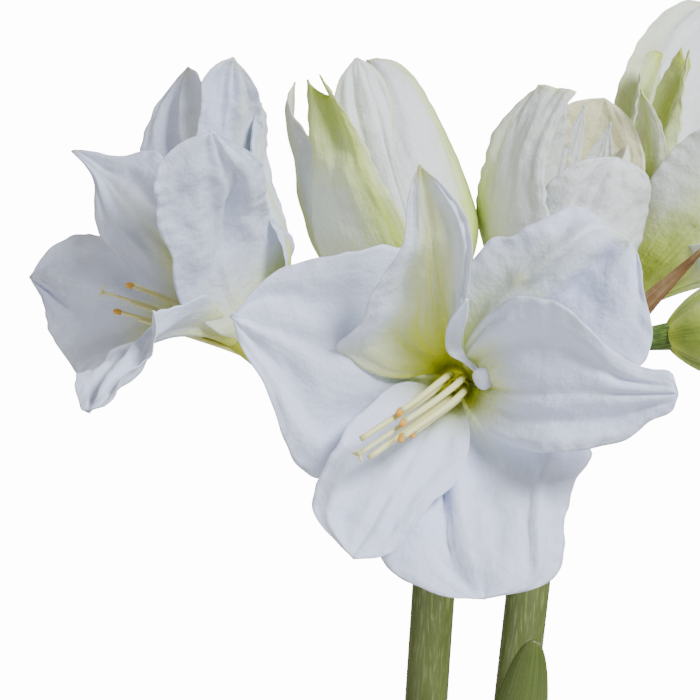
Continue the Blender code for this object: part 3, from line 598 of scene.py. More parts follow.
# %% The front bloom
FRONT = Bloom(base=(0.0105, -0.05, 0.5275), axis=(-0.06, -0.99, -0.06), zero=(1, 0, 0), petals=(
    outer(161, 0.106, 0.09, (14, 34, 60, 76, 86), blunt=EVEN, curl_left=(0, 0, 0, -5, -10),
          curl_right=(0, 0, 4, 12, 4), groove=0.0016, green=0.5,
          left=(30, 60, 95, 112, 100, 103, 107, 103, 86, 61, 40, 24, 4),
          right=(30, 50, 72, 88, 100, 105, 100, 94, 85, 74, 61, 42, 4),
          folds=(Fold(0.45, 0.5, -0.003, 0.2, 0.25), Fold(-0.4, -0.55, -0.0024, 0.18, 0.3),
                 Fold(0.8, 0.75, 0.0016, 0.1, 0.45, 0.9))),
    # Painted shade: its green band stands partly for its own green and partly for the shade along its fold.
    outer(40, 0.102, 0.07, (14, 36, 58, 70, 76, 92), blunt=EVEN, nib=0.2, curl_left=(0, 0, 0, -10, -30),
          curl_right=(0, 0, 0, -5, -25), green=0.5, rib_green=0.35, green_at=0.45,
          left=(30, 50, 65, 78, 85, 91, 92, 98, 86, 80, 75, 68, 35),
          right=(30, 50, 60, 60, 65, 80, 94, 106, 109, 109, 93, 50, 23),
          folds=(Fold(0.3, 0.62, 0.0058, 0.09, 0.3), Fold(-0.15, 0.1, -0.0034, 0.16, 0.3),
                 Fold(0.02, 0.3, 0.0026, 0.1, 0.35), Fold(-0.6, -0.55, 0.0018, 0.14, 0.4))),
    outer(-80, 0.102, 0.078, (12, 30, 52, 62, 70), blunt=EVEN, nib=0, curl_left=(0, 0, 0, -25, -35),
          green=0.6, left=(30, 50, 65, 80, 94, 112, 123, 105, 96, 88, 84, 78, 52),
          right=(30, 35, 40, 42, 48, 57, 67, 75, 85, 95, 85, 60, 30),
          folds=(Fold(0.66, 0.72, 0.005, 0.06, 0.35), Fold(0.1, 0.25, -0.0026, 0.14, 0.25, 0.9),
                 Fold(-0.36, -0.26, -0.0026, 0.035, 0.4, 0.86), Fold(-0.45, -0.3, -0.0026, 0.12, 0.35),
                 Fold(-0.15, -0.05, 0.0014, 0.1, 0.4))),
    # Painted shade: this inner petal lies in shadow, so its strong green foot, band and tint stand partly for
    # its own green and partly for shade.
    Petal(95, 0.127, 0.052, (10, 26, 47, 57, 60), swing=4, hug=0.4, blunt=EVEN, nib=0.4,
          curl_left=(0, 0, 20, 30, 15), curl_right=(0, 10, 45, 60, 40), groove=0.0008, rib_green=0.95,
          tint=0.07, green=1.8, left=(30, 50, 90, 134, 152, 158, 116, 106, 80, 46, 33, 22, 5),
          right=(30, 30, 24, 22, 24, 30, 38, 47, 58, 68, 62, 38, 8),
          folds=(Fold(0.42, 0.5, -0.0026, 0.15, 0.2, 0.75), Fold(0.72, 0.8, 0.0016, 0.1, 0.2, 0.6),
                 Fold(-0.72, -0.7, 0.0022, 0.07, 0.3))),
    Petal(1, 0.122, 0.064, (8, 20, 48, 70, 82), blunt=EVEN, curl_left=(0, 5, 20, 10, 0),
          curl_right=(0, 0, 10, -5, -20), groove=0.0018, nib=0, green=1.6,
          left=(30, 50, 70, 80, 86, 99, 112, 112, 104, 72, 42, 29, 30),
          right=(30, 30, 30, 37, 52, 63, 68, 69, 67, 62, 54, 31, 24),
          folds=(Fold(0.55, 0.35, -0.0028, 0.16, 0.25), Fold(-0.45, -0.45, -0.0026, 0.16, 0.3),
                 Fold(0.85, 0.75, 0.0018, 0.07, 0.12, 0.55), Fold(0.68, 0.58, -0.0015, 0.06, 0.12, 0.5),
                 Fold(0.96, 0.86, -0.0012, 0.05, 0.12, 0.45), Fold(-0.85, -0.8, 0.0016, 0.1, 0.3, 0.9))),
    Petal(-120, 0.103, 0.05, (9, 23, 45, 60, 69), blunt=EVEN, curl_left=(0, 5, 20, 0, -20),
          curl_right=(0, 0, 10, 0, -10), groove=0.0014, nib=0.2, green=0.8,
          left=(30, 45, 50, 56, 62, 72, 76, 73, 60, 54, 51, 42, 12),
          right=(30, 60, 90, 97, 96, 92, 100, 105, 106, 106, 103, 87, 30),
          folds=(Fold(0.5, 0.5, -0.0018, 0.16, 0.3), Fold(-0.35, -0.45, -0.0026, 0.18, 0.25),
                 Fold(-0.75, -0.7, 0.0014, 0.12, 0.4, 0.95))),
))

# %% The left bloom
LEFT = Bloom(base=(-0.0715, -0.01, 0.543), axis=(-0.7, -0.14, 0.7), petals=(
    # Painted shade: the strong green feet of this petal and the next stand partly for their own olive and
    # partly for the shade deep in the funnel.
    outer(222, 0.115, 0.062, (12, 40, 54, 60, 62), swing=-31, roll=(0, -30), blunt=EVEN, nib=0.3, green=1.3,
          left=(30, 50, 80, 100, 110, 115, 113, 95, 75, 50, 28, 13, 4),
          right=(30, 40, 50, 52, 58, 70, 79, 85, 87, 85, 79, 52, 5),
          folds=(Fold(0.35, 0.4, -0.002, 0.2, 0.3), Fold(-0.4, -0.5, -0.002, 0.2, 0.3))),
    # Painted shade: its strong green foot stands partly for shade deep in the funnel.
    Petal(170, 0.119, 0.05, (12, 28, 34, 36, 38, 46), swing=18, blunt=EVEN, nib=0, rib_green=0.3, green=1.4,
          left=(30, 40, 50, 52, 55, 62, 67, 71, 67, 46, 16, 5, 3),
          right=(30, 30, 30, 34, 40, 52, 69, 84, 93, 88, 44, 24, 6),
          folds=(Fold(-0.3, -0.4, -0.0022, 0.2, 0.3), Fold(0.5, 0.5, 0.0018, 0.14, 0.4))),
    outer(130, 0.119, 0.06, (12, 36, 46, 46, 44), roll=(0, 0, 2, 5), rib_green=0.3, blunt=EVEN, nib=0.4,
          green=0.8, curl_left=(0, 0, 10, 30, 40), curl_right=(0, 0, 10, 25, 30),
          left=(30, 36, 38, 44, 56, 71, 85, 95, 100, 105, 98, 72, 34),
          right=(30, 35, 40, 42, 44, 44, 43, 42, 42, 44, 42, 34, 14),
          folds=(Fold(0.55, 0.5, -0.003, 0.12, 0.35), Fold(0.28, 0.25, 0.0022, 0.08, 0.4),
                 Fold(0.8, 0.78, 0.0016, 0.08, 0.4))),
    Petal(75, 0.117, 0.047, (10, 32, 46, 54, 54), swing=-12, blunt=EVEN, roll=(0, -10, -40, -60),
          rib_green=0.35, green_at=0.5, groove=0.002, nib=0.2,
          left=(30, 60, 100, 120, 125, 128, 120, 99, 90, 81, 63, 39, 6),
          right=(30, 34, 36, 40, 44, 48, 52, 54, 54, 52, 50, 50, 25),
          folds=(Fold(0.45, 0.4, -0.0024, 0.16, 0.3), Fold(0.15, 0.1, 0.0014, 0.1, 0.4))),
    outer(40, 0.11, 0.058, (12, 42, 56, 54, 48), swing=-14, roll=(-6, -22, -23, -30, -40), groove=0.0012,
          blunt=EVEN, nib=0.1, green=0.3, hug=0.1,
          left=(30, 75, 115, 117, 104, 89, 76, 68, 65, 63, 46, 24, 8),
          right=(30, 40, 55, 74, 80, 81, 82, 90, 94, 89, 91, 76, 36),
          folds=(Fold(-0.45, -0.4, -0.002, 0.2, 0.3), Fold(-0.1, 0.45, 0.0024, 0.14, 0.3, 0.85),
                 Fold(0.55, 0.5, -0.002, 0.16, 0.3))),
    Petal(84, 0.098, 0.026, (74, 74, 32, 20, 46, 48), hug=0.3, roll=(0, -10, -20), rib_green=0.6,
          ruffle=0.0008),
    Petal(318, 0.104, 0.048, (14, 50, 78, 90, 98), swing=7, roll=(0, -35), groove=0.0028, blunt=EVEN, nib=0,
          ruffle=0.003, waves=3.2, scallop=0.08, curl_left=(0, 0, 60, 40, 0), green=0.6,
          left=(30, 60, 90, 100, 100, 95, 85, 95, 110, 95, 74, 54, 36),
          right=(30, 40, 45, 50, 55, 55, 45, 55, 54, 56, 46, 27, 12),
          folds=(Fold(0.25, 0.3, 0.004, 0.12, 0.35), Fold(-0.2, -0.25, -0.0026, 0.12, 0.4),
                 Fold(0.6, 0.65, -0.0022, 0.1, 0.4))),
))

# %% The half-open bloom at the left
HALF_OPEN_LEFT = Bloom(base=(0.004, 0.012, 0.546), axis=(-0.285, 0, 0.958), petals=(
    outer(115, 0.106, 0.054, (30, 32, 12, -6, -20, -30), hug=1, rib_green=0.8, tint=0.15),
    Petal(195, 0.112, 0.056, (32, 36, 14, -3, -10, -14), hug=1, rib_green=0.6, ivory=0.5),
    Petal(52, 0.13, 0.06, (33, 40, 4, -11, -15, -74), hug=1, blunt=9, rib_green=1, green_at=0.5, cream=0.2,
          green=0.8, folds=(Fold(-0.5, -0.4, -0.0022, 0.14, 0.4), Fold(0.1, 0.2, 0.0016, 0.1, 0.3, 0.9))),
    Petal(264, 0.125, 0.042, (36, 40, 15, -1, -10, -32), hug=1, point=0.85, root=0.0055, rib_green=0.5,
          cream=0.5, tint=0.06, left=(32, 62, 105, 135, 150, 115)),
    Petal(2, 0.122, 0.06, (32, 37, 15, 0, -6, -12), hug=1, root=0.0055, rib_green=0.1, cream=1.3,
          blunt=EVEN, nib=0.3, ruffle=0.0006, left=(30, 24, 20, 16, 14, 12, 12, 12, 14, 22, 29, 26, 12),
          right=(30, 50, 70, 90, 95, 100, 95, 90, 80, 68, 56, 40, 15),
          folds=(Fold(-0.3, -0.35, 0.0018, 0.1, 0.4), Fold(-0.62, -0.6, -0.0014, 0.1, 0.4))),
    Petal(338, 0.123, 0.06, (36, 44, 25, 5, -1, -4), swing=-30, hug=1, root=0.0065, point=0, nib=0,
          notch=0.07, groove=0, ruffle=0.0006, rib_green=0.75, green_at=0.65, tint=0.11, cream=0.3,
          green=0.7, tip_green=0.32, left=(30, 32, 37, 43, 50, 56, 58, 55, 49, 43, 36, 26, 12),
          right=(40, 80, 105, 115, 115, 104, 90, 80, 62, 44, 36, 29, 18),
          folds=(Fold(0.05, 0.12, 0.0062, 0.36, 0.66, 1.3),)),
))

# %% The half-open bloom in the middle
HALF_OPEN_MIDDLE = Bloom(base=(0.046, 0.032, 0.546), axis=(0.24, -0.28, 0.92), petals=(
    outer(175, 0.103, 0.062, (35, 38, 20, 6, 2, 0), hug=1, rib_green=0.3, cream=0.6, ivory=1.05, nib=0.2),
    Petal(98, 0.09, 0.046, (28, 28, 10, -3, -8, -12), hug=1, cream=0.5, ivory=0.5),
    Petal(235, 0.104, 0.046, (31, 33, 13, 0, -8, -14), hug=1, cream=0.8, ivory=0.3),
    Petal(350, 0.064, 0.058, (37, 41, 24, 7, 2, 0), hug=1, rib_green=0.1, root=0.0072, cream=0.2, blunt=14,
          nib=0.2, folds=(Fold(0.35, 0.3, 0.0022, 0.05, 0.3), Fold(-0.3, -0.3, -0.0012, 0.1, 0.3))),
    outer(302, 0.119, 0.07, (36, 40, 21, 3, -13, -30), swing=14, hug=0.95, rib_green=0.5, green_at=-0.6,
          cream=0.2, point=0, nib=0, slant=0.07, ruffle=0.0004, groove=0.0003,
          left=(32, 62, 85, 97, 100, 99, 94, 85, 73, 62, 56, 54, 54),
          right=(32, 62, 90, 100, 90, 70, 50, 40, 34, 30, 22, 10, 0),
          folds=(Fold(0.84, 0.86, -0.001, 0.06, 0.4, 1.2), Fold(0.3, 0.4, 0.0008, 0.05, 0.45, 0.9))),
    Petal(190, 0.098, 0.011, (30, 33, 15, 4, 0, 0), hug=1, point=1, nib=0.2),
    Petal(163, 0.093, 0.019, (28, 32, 15, 4, 2, 0), hug=1, point=1.3, nib=0.2),
    outer(20, 0.094, 0.058, (32, 36, 24, 8, 0, -6), hug=1, blunt=12, rib_green=0.1, cream=0.2, nib=0.2,
          scallop=0.05, folds=(Fold(-0.45, -0.4, 0.0026, 0.05, 0.35),
                 Fold(-0.22, -0.16, 0.0022, 0.04, 0.35), Fold(0.05, 0.12, -0.0012, 0.05, 0.5),
                 Fold(0.4, 0.35, -0.0018, 0.12, 0.3))),
))

# %% The bloom at the upper right
UPPER_RIGHT = Bloom(base=(0.082, 0.064, 0.558), axis=(0.55, -0.02, 0.83), petals=(
    Petal(210, 0.15, 0.07, (23, 32, 30, 26, 20, 14), hug=0.7, rib_green=0.5, green_at=0.9, green=1.2,
          left=(32, 56, 74, 86, 88, 74), folds=(Fold(0.4, 0.4, -0.0024, 0.16, 0.3),
                 Fold(-0.3, -0.4, 0.002, 0.12, 0.4))),
    outer(250, 0.108, 0.036, (24, 32, 26, 20, 18, 14), hug=1, blunt=18, nib=0, rib_green=0.8, tint=0.22,
          cream=0.3, groove=0, folds=(Fold(0, -0.05, 0.003, 0.4, 0.6, 1.25),)),
    Petal(292, 0.11, 0.042, (22, 27, 20, 15, 13, 10), hug=1, root=0.0055, point=0, nib=0, notch=0.07,
          rib_green=0.9, tint=0.22, tip_green=0.15, cream=0.35, groove=0, ruffle=0.0006,
          left=(60, 100, 100, 96, 85, 65, 22), right=(60, 100, 120, 132, 125, 90, 26),
          folds=(Fold(-0.05, 0.05, 0.006, 0.42, 0.55, 1.3),)),
    Petal(312, 0.095, 0.024, (22, 26, 24, 30, 48, 62), hug=1, root=0.0065, rib_green=0.7, tint=0.16,
          cream=0.5, ruffle=0.0006, point=0.9),
    outer(12, 0.112, 0.056, (26, 33, 26, 22, 20, 20), hug=0.8, rib_green=0.5, green=1.6, tint=0.05),
    Petal(68, 0.114, 0.058, (25, 34, 38, 44, 50, 54), hug=0.6, rib_green=0.3),
    outer(125, 0.116, 0.058, (28, 40, 46, 50, 52, 50), hug=0.6, rib_green=0.3),
))

# %% The closed bud at the right
CLOSED_OUTLINE = (42, 80, 100, 100, 85, 55)
CLOSED = {"opening": (52, 28, 4, -8, -22, -36), "left": CLOSED_OUTLINE, "right": CLOSED_OUTLINE, "hug": 1,
          "ruffle": 0, "point": 0.8, "scallop": 0.01, "groove": -0.0007, "rib_green": 0.7, "cream": 0.3,
          "green": 0.3}
CLOSED_RIGHT = Bloom(base=(0.0975, -0.002, 0.5455), axis=(0.985, -0.1, 0.12), petals=(
    *(outer(turn, 0.08, 0.037, **CLOSED) for turn in (0, 120, 240)),
    *(Petal(turn, 0.08, 0.032, **CLOSED) for turn in (60, 180, 300)),
))

# %% [markdown]
# ## The finish of a petal
#
# The petals are white with a breath of lavender. Their foot is olive green, which runs out along the
# midrib and the veins. Half-open flowers are still greenish outside, with a cream margin. The green
# and the cream are values on the vertices, worked out from where a vertex lies on its petal. On a few
# petals in shadow, a stronger green stands partly for painted shade. Fine streaks along the blade,
# from noise that is stretched over the petal's own map, break them up and raise the veins. Noise
# that raises soft creases also lightens their colour, a painted shading of the creases. A little
# subsurface scattering softens the shadows, as light does in thin tissue.
# The throat of a real flower isn't black, because light comes through the thin tube from outside.
# A faint yellow-green emission at the root stands for it.

# %% Paint the petals
def petal_finish(name, white, pale, mid, deep, vein_depth):
    """White blades with a green foot. pale, mid and deep are the greens from the tip to the foot."""
    finish = Finish(name, 0.30, 0.35, (0.9, 1.0, 0.8), 0.0025, Sheen_Weight=0.06, Sheen_Roughness=0.4,
                    Emission_Strength=0.30)
    across, along = finish.blade()
    seed = finish.attribute("seed")
    veins = finish.cloud(finish.spot(across * 40, along * 1.8, seed), 1.0, 2.5, 0.6)
    fine = finish.cloud(finish.spot(across * 130, along * 9, seed), 1.0, 2.0)
    blotch = finish.grain(34, 4.0, 0.6)
    crease = finish.grain(150, 4.0, 0.6)
    grain = finish.grain(1500)
    streaks = veins.ramp(0.36, 0.68)
    green = finish.attribute("green") * (0.66 + 0.36 * streaks + 0.36 * blotch)
    stain = blotch.ramp(0.60, 0.78) * 0.13
    body = finish.gradient(green + stain, ((0.04, white), (0.26, pale), (0.58, mid), (0.95, deep)))
    cream = finish.attribute("cream") * (0.7 + 0.5 * blotch)
    body = finish.mix(cream.ramp(0.1, 0.9), body, (0.84, 0.80, 0.52))
    # Painted shade: the crease noise that raises the creases also lightens their colour here; the streaks,
    # fine lines and blotches are the petal's own tone.
    shade = 0.92 + 0.035 * streaks + 0.05 * fine + 0.07 * crease - 0.07 * blotch
    body = finish.mix(1.0, body, finish.spot(shade, shade, shade), "MULTIPLY")
    raised = finish.bump(streaks * 0.6 + fine * 0.4, 0.4, vein_depth)
    raised = finish.bump(crease, 0.6, 0.0020, raised)
    raised = finish.bump(grain, 0.18, 0.00025, raised)
    rough = 0.52 + 0.14 * blotch - 0.05 * streaks
    glow = finish.mix(finish.attribute("glow"), (0, 0, 0), (0.50, 0.52, 0.03))
    return finish.paint(Base_Color=body, Roughness=rough, Emission_Color=glow, Normal=raised)


petal_white = petal_finish("petal white", (0.69, 0.74, 0.96), (0.68, 0.74, 0.48), (0.58, 0.62, 0.15),
                           (0.62, 0.64, 0.02), 0.00020)
bud_white = petal_finish("bud green white", (0.77, 0.80, 0.80), (0.69, 0.79, 0.38), (0.57, 0.68, 0.14),
                         (0.36, 0.44, 0.05), 0.00035)
bud_green = petal_finish("bud green", (0.47, 0.54, 0.15), (0.37, 0.45, 0.075), (0.27, 0.35, 0.045),
                         (0.05, 0.10, 0.015), 0.0006)
print("petal finishes:", petal_white.name, bud_white.name, bud_green.name)

# %% [markdown]
# ## Make the flowers
#
# The petals, and the short tube that they grow out of, are one piece in the measured model, so they
# are one mesh here as well. The petals run down the tube's outside for a few millimetres. A ring of
# fine scales half closes the throat round the stamens. The sheets get their thickness from a
# Solidify modifier, thinner at the margins, where a real petal is as thin as paper.

# %% Colour and thickness over a petal
MARGIN_SHARE = 0.40         # a margin's thickness against the middle's
FOOT_REACH = 0.52           # share of a petal that its green foot covers
THROAT_REACH = 0.30
GLOW_REACH = 0.12
BAND_HALF = 0.42            # half the width of the green band, as a share of the half petal
TIP_START = 0.93
OUTER_THIRD = 0.6           # share of the length from which tip_green sets in
CREAM_EDGE = 0.78           # share of the half petal from which its margin is cream


def petal_traits(petal, across, along):
    out = np.abs(across)
    green = 0.55 * petal.green * ease(1.1 - along / FOOT_REACH - 0.22 * out)
    green = green + 0.6 * petal.green * ease(1 - along / THROAT_REACH)
    band = petal.rib_green * 0.55 * np.exp(-((across - petal.green_at) / BAND_HALF)**2)
    green = green + band * (0.4 + 0.6 * ease(1.6 * (1 - along))) + petal.tint
    green = green + 0.35 * petal.rib_green * ease((along - TIP_START) / (1 - TIP_START))
    green = green + petal.tip_green * ease((along - OUTER_THIRD) / 0.3)
    cream = petal.ivory + petal.cream * ease((out - CREAM_EDGE) / (1 - CREAM_EDGE)) * ease(along / 0.35)
    glow = ease(1 - along / GLOW_REACH)
    return MARGIN_SHARE + (1 - MARGIN_SHARE) * (1 - out**3), {"green": green, "cream": cream, "glow": glow}


# %% The sides of the tube, the ring of scales and the small lobe
TUBE_RISE = 0.004
TUBE_FLARE = 0.003
FRINGE_RADIUS = 0.0016
FRINGE_HEIGHT = 0.009
LOBE_MIDDLE = (0.0122, 0.0042, 0.0375)
LOBE_RADIUS = 0.0041


def tube_side(across, along):
    height = -TUBE_LENGTH + (TUBE_LENGTH + TUBE_RISE) * along
    radius = np.interp(height, (-TUBE_LENGTH, TUBE_FLARE), (TUBE_FOOT_RADIUS, TUBE_MOUTH_RADIUS))
    return radius - TUBE_WALL / 2, height


def fringe_side(across, along):
    radius = np.interp(along, (0, 1), (TUBE_MOUTH_RADIUS - TUBE_WALL, FRINGE_RADIUS))
    radius = radius + 0.0004 * along * np.sin(24 * math.pi * across)
    return radius, FRINGE_HEIGHT * np.sin(math.pi * along / 2) - 0.001


def lobe_side(across, along):
    radius = LOBE_RADIUS * along * (1 + 0.08 * np.sin(3 * math.pi * across))
    return radius, -0.3 * LOBE_RADIUS * along**2


# %% The small ribbon in the front bloom
PETALOID = ((0.0035, 0.0015, 0.0000), (0.0085, 0.0002, 0.0180), (0.0122, 0.0008, 0.0290),
            (0.0118, 0.0038, 0.0303), (0.0098, 0.0066, 0.0315), (0.0052, 0.0106, 0.0340),
            (0.0014, 0.0152, 0.0400), (0.0012, 0.0206, 0.0500), (0.0032, 0.0267, 0.0620),
            (0.0068, 0.0355, 0.0700))
PETALOID_HALVES = (0.0010, 0.0012, 0.0008, 0.0008, 0.0012, 0.0011, 0.0028, 0.0030, 0.0032, 0.0004)
PETALOID_CREAM = 0.22


def petaloid_points(across, along):
    """A stamen that grew as a small ribbon, in its bloom's own frame."""
    width_way = unit(np.cross(heading(PETALOID, along), (0.25, -0.1, 1.0)))
    half = np.maximum(smooth(PETALOID_HALVES, along), PETALOID_HALVES[-1])
    return spread(smooth(PETALOID, along), half * across, width_way, 0.35 * half * across**2, (0, 0, 1))


def add_petaloid(sheets, place):
    verts, across, along = sheets.grid(14, 90)
    sheets.move(verts, place(petaloid_points(across, along)), 1.0,
                green=0.5 * ease(1 - along / 0.35), cream=PETALOID_CREAM, seed=11.0)
    sheets.ring(28, 6, lobe_side, 1.0, lambda lobe: place(lobe + LOBE_MIDDLE), cream=PETALOID_CREAM,
                seed=12.0)


# %% Build a bloom from its petals
PETAL_COLUMNS = 36
PETAL_ROWS = 72
PETAL_THICKNESS = 0.0008
TUBE_WEIGHT = 1.4           # thickness against a petal's
FRINGE_WEIGHT = 0.5


def make_bloom(name, bloom, finish):
    sheets = Sheets()

    def place(points):
        return into_place(points, bloom)

    if bloom is FRONT:
        add_petaloid(sheets, place)
    for number, petal in enumerate(bloom.petals):
        verts, across, along = sheets.grid(PETAL_COLUMNS, PETAL_ROWS)
        seed = number * 7.3 + len(name)
        thick, traits = petal_traits(petal, across, along)
        sheets.move(verts, place(petal_points(petal, across, along, seed)), thick, seed=seed, **traits)
    sheets.ring(48, 14, tube_side, TUBE_WEIGHT, place, green=0.95, seed=3.0)
    sheets.ring(96, 8, fringe_side, FRINGE_WEIGHT, place, green=0.8, seed=5.0, glow=1.0)
    return sheets.finished(name, finish, PETAL_THICKNESS)


BLOOM_PIECES = (
    ("petals_front", FRONT, "bloom_front", petal_white, "petal_white"),
    ("petals_left", LEFT, "bloom_left", petal_white, "petal_white"),
    ("petals_half_open_left", HALF_OPEN_LEFT, "bloom_half_open_left", bud_white, "bud_white"),
    ("petals_half_open_middle", HALF_OPEN_MIDDLE, "bloom_half_open_middle", bud_white, "bud_white"),
    ("petals_upper_right", UPPER_RIGHT, "bloom_upper_right", bud_white, "bud_white"),
    ("petals_bud_right", CLOSED_RIGHT, "bud_right", bud_green, "bud_green"),
)
for name, bloom, node, finish, slot in BLOOM_PIECES:
    dressed(make_bloom(name, bloom, finish), slot, node)

# %% [markdown]
# ## Stamens
#
# Six filaments and one longer style leave the tube's foot as a bundle that droops under its own
# weight. Each filament is a thin tube along the bundle's bent path. Where its anther hasn't dropped
# off, it carries a small bean of orange pollen. The style ends in a three-armed stigma. One mesh
# holds the whole bundle, as in the measured model, and the material tells filament from pollen by a
# value on the vertices.

# %% Finish of filaments and pollen
def stamen_finish():
    finish = Finish("stamen cream", 0.35, 0.3, (1.0, 0.9, 0.5))
    pollen = finish.attribute("cream")
    mottle = finish.grain(420, 3.0)
    thread = finish.gradient(finish.attribute("green"), ((0.0, (0.74, 0.71, 0.34)), (0.5, (0.66, 0.65, 0.19)),
                                                         (1.0, (0.58, 0.60, 0.12))))
    dust = finish.gradient(mottle, ((0.3, (0.66, 0.28, 0.03)), (0.7, (0.90, 0.50, 0.10))))
    body = finish.mix(pollen, thread, dust)
    grains = finish.grain(2600, 1.0)
    raised = finish.bump(grains * pollen, 0.5, 0.0004)
    return finish.paint(Base_Color=body, Roughness=0.42 + 0.45 * pollen, Normal=raised)


stamen_cream = stamen_finish()

# %% Describe the bundles
@dataclass
class Strand:
    """A filament: where it stands in the ring, how far it reaches and whether pollen is left on it."""
    turn: float         # degrees round the bundle
    reach: float        # share of the bundle's length
    pollen: bool = True


RING_OF_SIX = tuple(Strand(60 * number, 1.0 - 0.07 * (number % 3)) for number in range(6))


@dataclass
class Stamens:
    bloom: Bloom
    droop_turn: float
    droop: tuple        # degrees between the bundle and the flower axis, root to tip
    length: float
    style: float = 1.18         # length of the style against the bundle's
    strands: tuple = RING_OF_SIX
    thickness: float = 0.0010   # radius of a filament at its foot
    spread: tuple = (0.0019, 0.0027, 0.0036, 0.0046, 0.0055)


STAMENS = {
    "stamens_front": Stamens(
        FRONT, 213, (0, 0, 4, 26, 56, 60), 0.104, style=1.02, thickness=0.0016,
        strands=(Strand(172, 0.80), Strand(98, 0.83), Strand(2, 0.80), Strand(40, 0.86),
                 Strand(215, 0.97, False), Strand(310, 0.98, False)),
        spread=(0.0020, 0.0044, 0.0046, 0.0046, 0.0050)),
    "stamens_left": Stamens(
        LEFT, 268, (6, 18, 22, 22, 24, 28), 0.062, style=1.13, thickness=0.0011,
        strands=(Strand(60, 0.98), Strand(120, 0.96, False), Strand(185, 0.92, False), Strand(240, 1.0),
                 Strand(300, 0.86, False), Strand(0, 0.95, False)),
        spread=(0.0019, 0.0035, 0.0050, 0.0062, 0.0070)),
    "stamens_half_open_middle": Stamens(HALF_OPEN_MIDDLE, 180, (0, 4, 10, 10, 8, 4), 0.070),
    "stamens_upper_right": Stamens(UPPER_RIGHT, 90, (0, 4, 10, 14, 16, 14), 0.066),
}

# %% Build the bundles
STAMEN_POINTS = 34
THREAD_SIDES = 14
FILAMENT_END = 0.70         # a filament's radius at its end against its foot
STYLE_SHARE = 0.75          # the style's radius against a filament's
THREAD_WOBBLE = 0.0007
STIGMA_ARM = 0.0030
STIGMA_CURL = 0.0009
ANTHER_LENGTH = 0.0040
ANTHER_RADIUS = 0.0012
ANTHER_BOW = 0.16


def anther(sheets, middle, way, bow, seed):
    """A bean of pollen whose ends bend towards its filament."""
    steps = np.linspace(-1, 1, 13)
    bend = np.outer(steps**2, bow) * ANTHER_LENGTH * ANTHER_BOW
    radii = ANTHER_RADIUS * np.maximum(1 - np.abs(steps)**3.5, 0.05)**0.5
    sheets.tube(middle + np.outer(steps, way) * ANTHER_LENGTH / 2 - bend, radii, THREAD_SIDES, lobes=2,
                depth=0.16, cream=1.0, seed=seed)


def stigma(sheets, tip, way, side, radius):
    """Three short arms that curl back from the end of the style."""
    other = np.cross(way, side)
    steps = np.linspace(0, 1, 8)
    for turn in (0, math.tau / 3, math.tau * 2 / 3):
        out = math.cos(turn) * side + math.sin(turn) * other
        path = tip + np.outer(steps, out) * STIGMA_ARM + np.outer(np.sin(steps * 1.6), way) * STIGMA_CURL
        sheets.tube(path, radius * (0.8 - 0.45 * steps), 10, green=0.1)


def make_stamens(name, stamens):
    sheets = Sheets()
    steps = np.linspace(0, 1, STAMEN_POINTS)
    lean = np.radians(smooth(stamens.droop, steps))
    turned = math.radians(stamens.droop_turn)
    way = np.array([math.cos(turned), math.sin(turned), 0.0])
    cross = np.array([-way[1], way[0], 0.0])
    side = cross @ frame_of(stamens.bloom)
    for number, strand in enumerate((*stamens.strands, Strand(0, stamens.style, False))):
        is_style = number == len(stamens.strands)
        spot = steps * strand.reach
        bent = np.interp(spot, steps, lean)
        ahead = np.outer(np.sin(bent), way) + np.outer(np.cos(bent), (0, 0, 1))
        pieces = (ahead[1:] + ahead[:-1]) / 2 * stamens.length * strand.reach / (STAMEN_POINTS - 1)
        rib = np.vstack([(0, 0, 0), np.cumsum(pieces, 0)])
        turn = math.radians(strand.turn)
        out = 0 * spot if is_style else smooth(stamens.spread, spot)
        wobble = THREAD_WOBBLE * wander(steps * 2.2, number * 5.0, 0.0)
        up = np.cross(ahead, cross)
        thread = spread(rib, out * math.cos(turn) + wobble, cross, out * math.sin(turn), up)
        path = into_place(thread + (0, 0, TUBE_WALL - TUBE_LENGTH), stamens.bloom)
        foot = stamens.thickness * (STYLE_SHARE if is_style else 1.0)
        sheets.tube(path, foot * (1 + (FILAMENT_END - 1) * steps), THREAD_SIDES,
                    row_values={"green": ease(1.05 - spot / 0.55)})
        end_way = unit(path[-1] - path[-2])
        if is_style:
            stigma(sheets, path[-1], end_way, side, foot)
        elif strand.pollen:
            anther(sheets, path[-1], unit(end_way + 0.5 * side), np.cross(end_way, side), float(number))
    return sheets.finished(name, stamen_cream)


for node, stamens in STAMENS.items():
    dressed(make_stamens("bundle_" + node, stamens), "stamen_cream", node)

# %% [markdown]
# ## Stems
#
# A flower stem, the scape, is a hollow green stalk as thick as a thumb. At its top the pedicels of
# its flowers spread, and each ends in a three-lobed ovary just under the flower's tube. All of them
# are tubes along smooth paths. The finish is a mid green with fine pale streaks along the stalk.

# %% Finish of the stems
def stem_finish():
    """Green with streaks that run up the piece's own map."""
    finish = Finish("scape green", 0.45, 0.10, (0.6, 1.0, 0.3), Coat_Roughness=0.35)
    across, along = finish.blade()
    lines = finish.cloud(finish.spot(across * 66, along * 30, 0.0), 1.0, 3.0, 0.6)
    patches = finish.grain(26, 3.0)
    specks = finish.grain(900)
    body = finish.mix(patches.ramp(0.3, 0.75), (0.075, 0.098, 0.019), (0.125, 0.153, 0.036))
    body = finish.mix(lines.ramp(0.48, 0.74) * 0.60, body, (0.27, 0.31, 0.12))
    body = finish.mix(finish.attribute("green"), body, (0.05, 0.13, 0.02))
    raised = finish.bump(lines + specks * 0.15, 0.35, 0.0004)
    return finish.paint(Base_Color=body, Roughness=0.36 + 0.16 * patches, Normal=raised,
                        Coat_Weight=0.10 + 0.1 * patches)


scape_green = stem_finish()

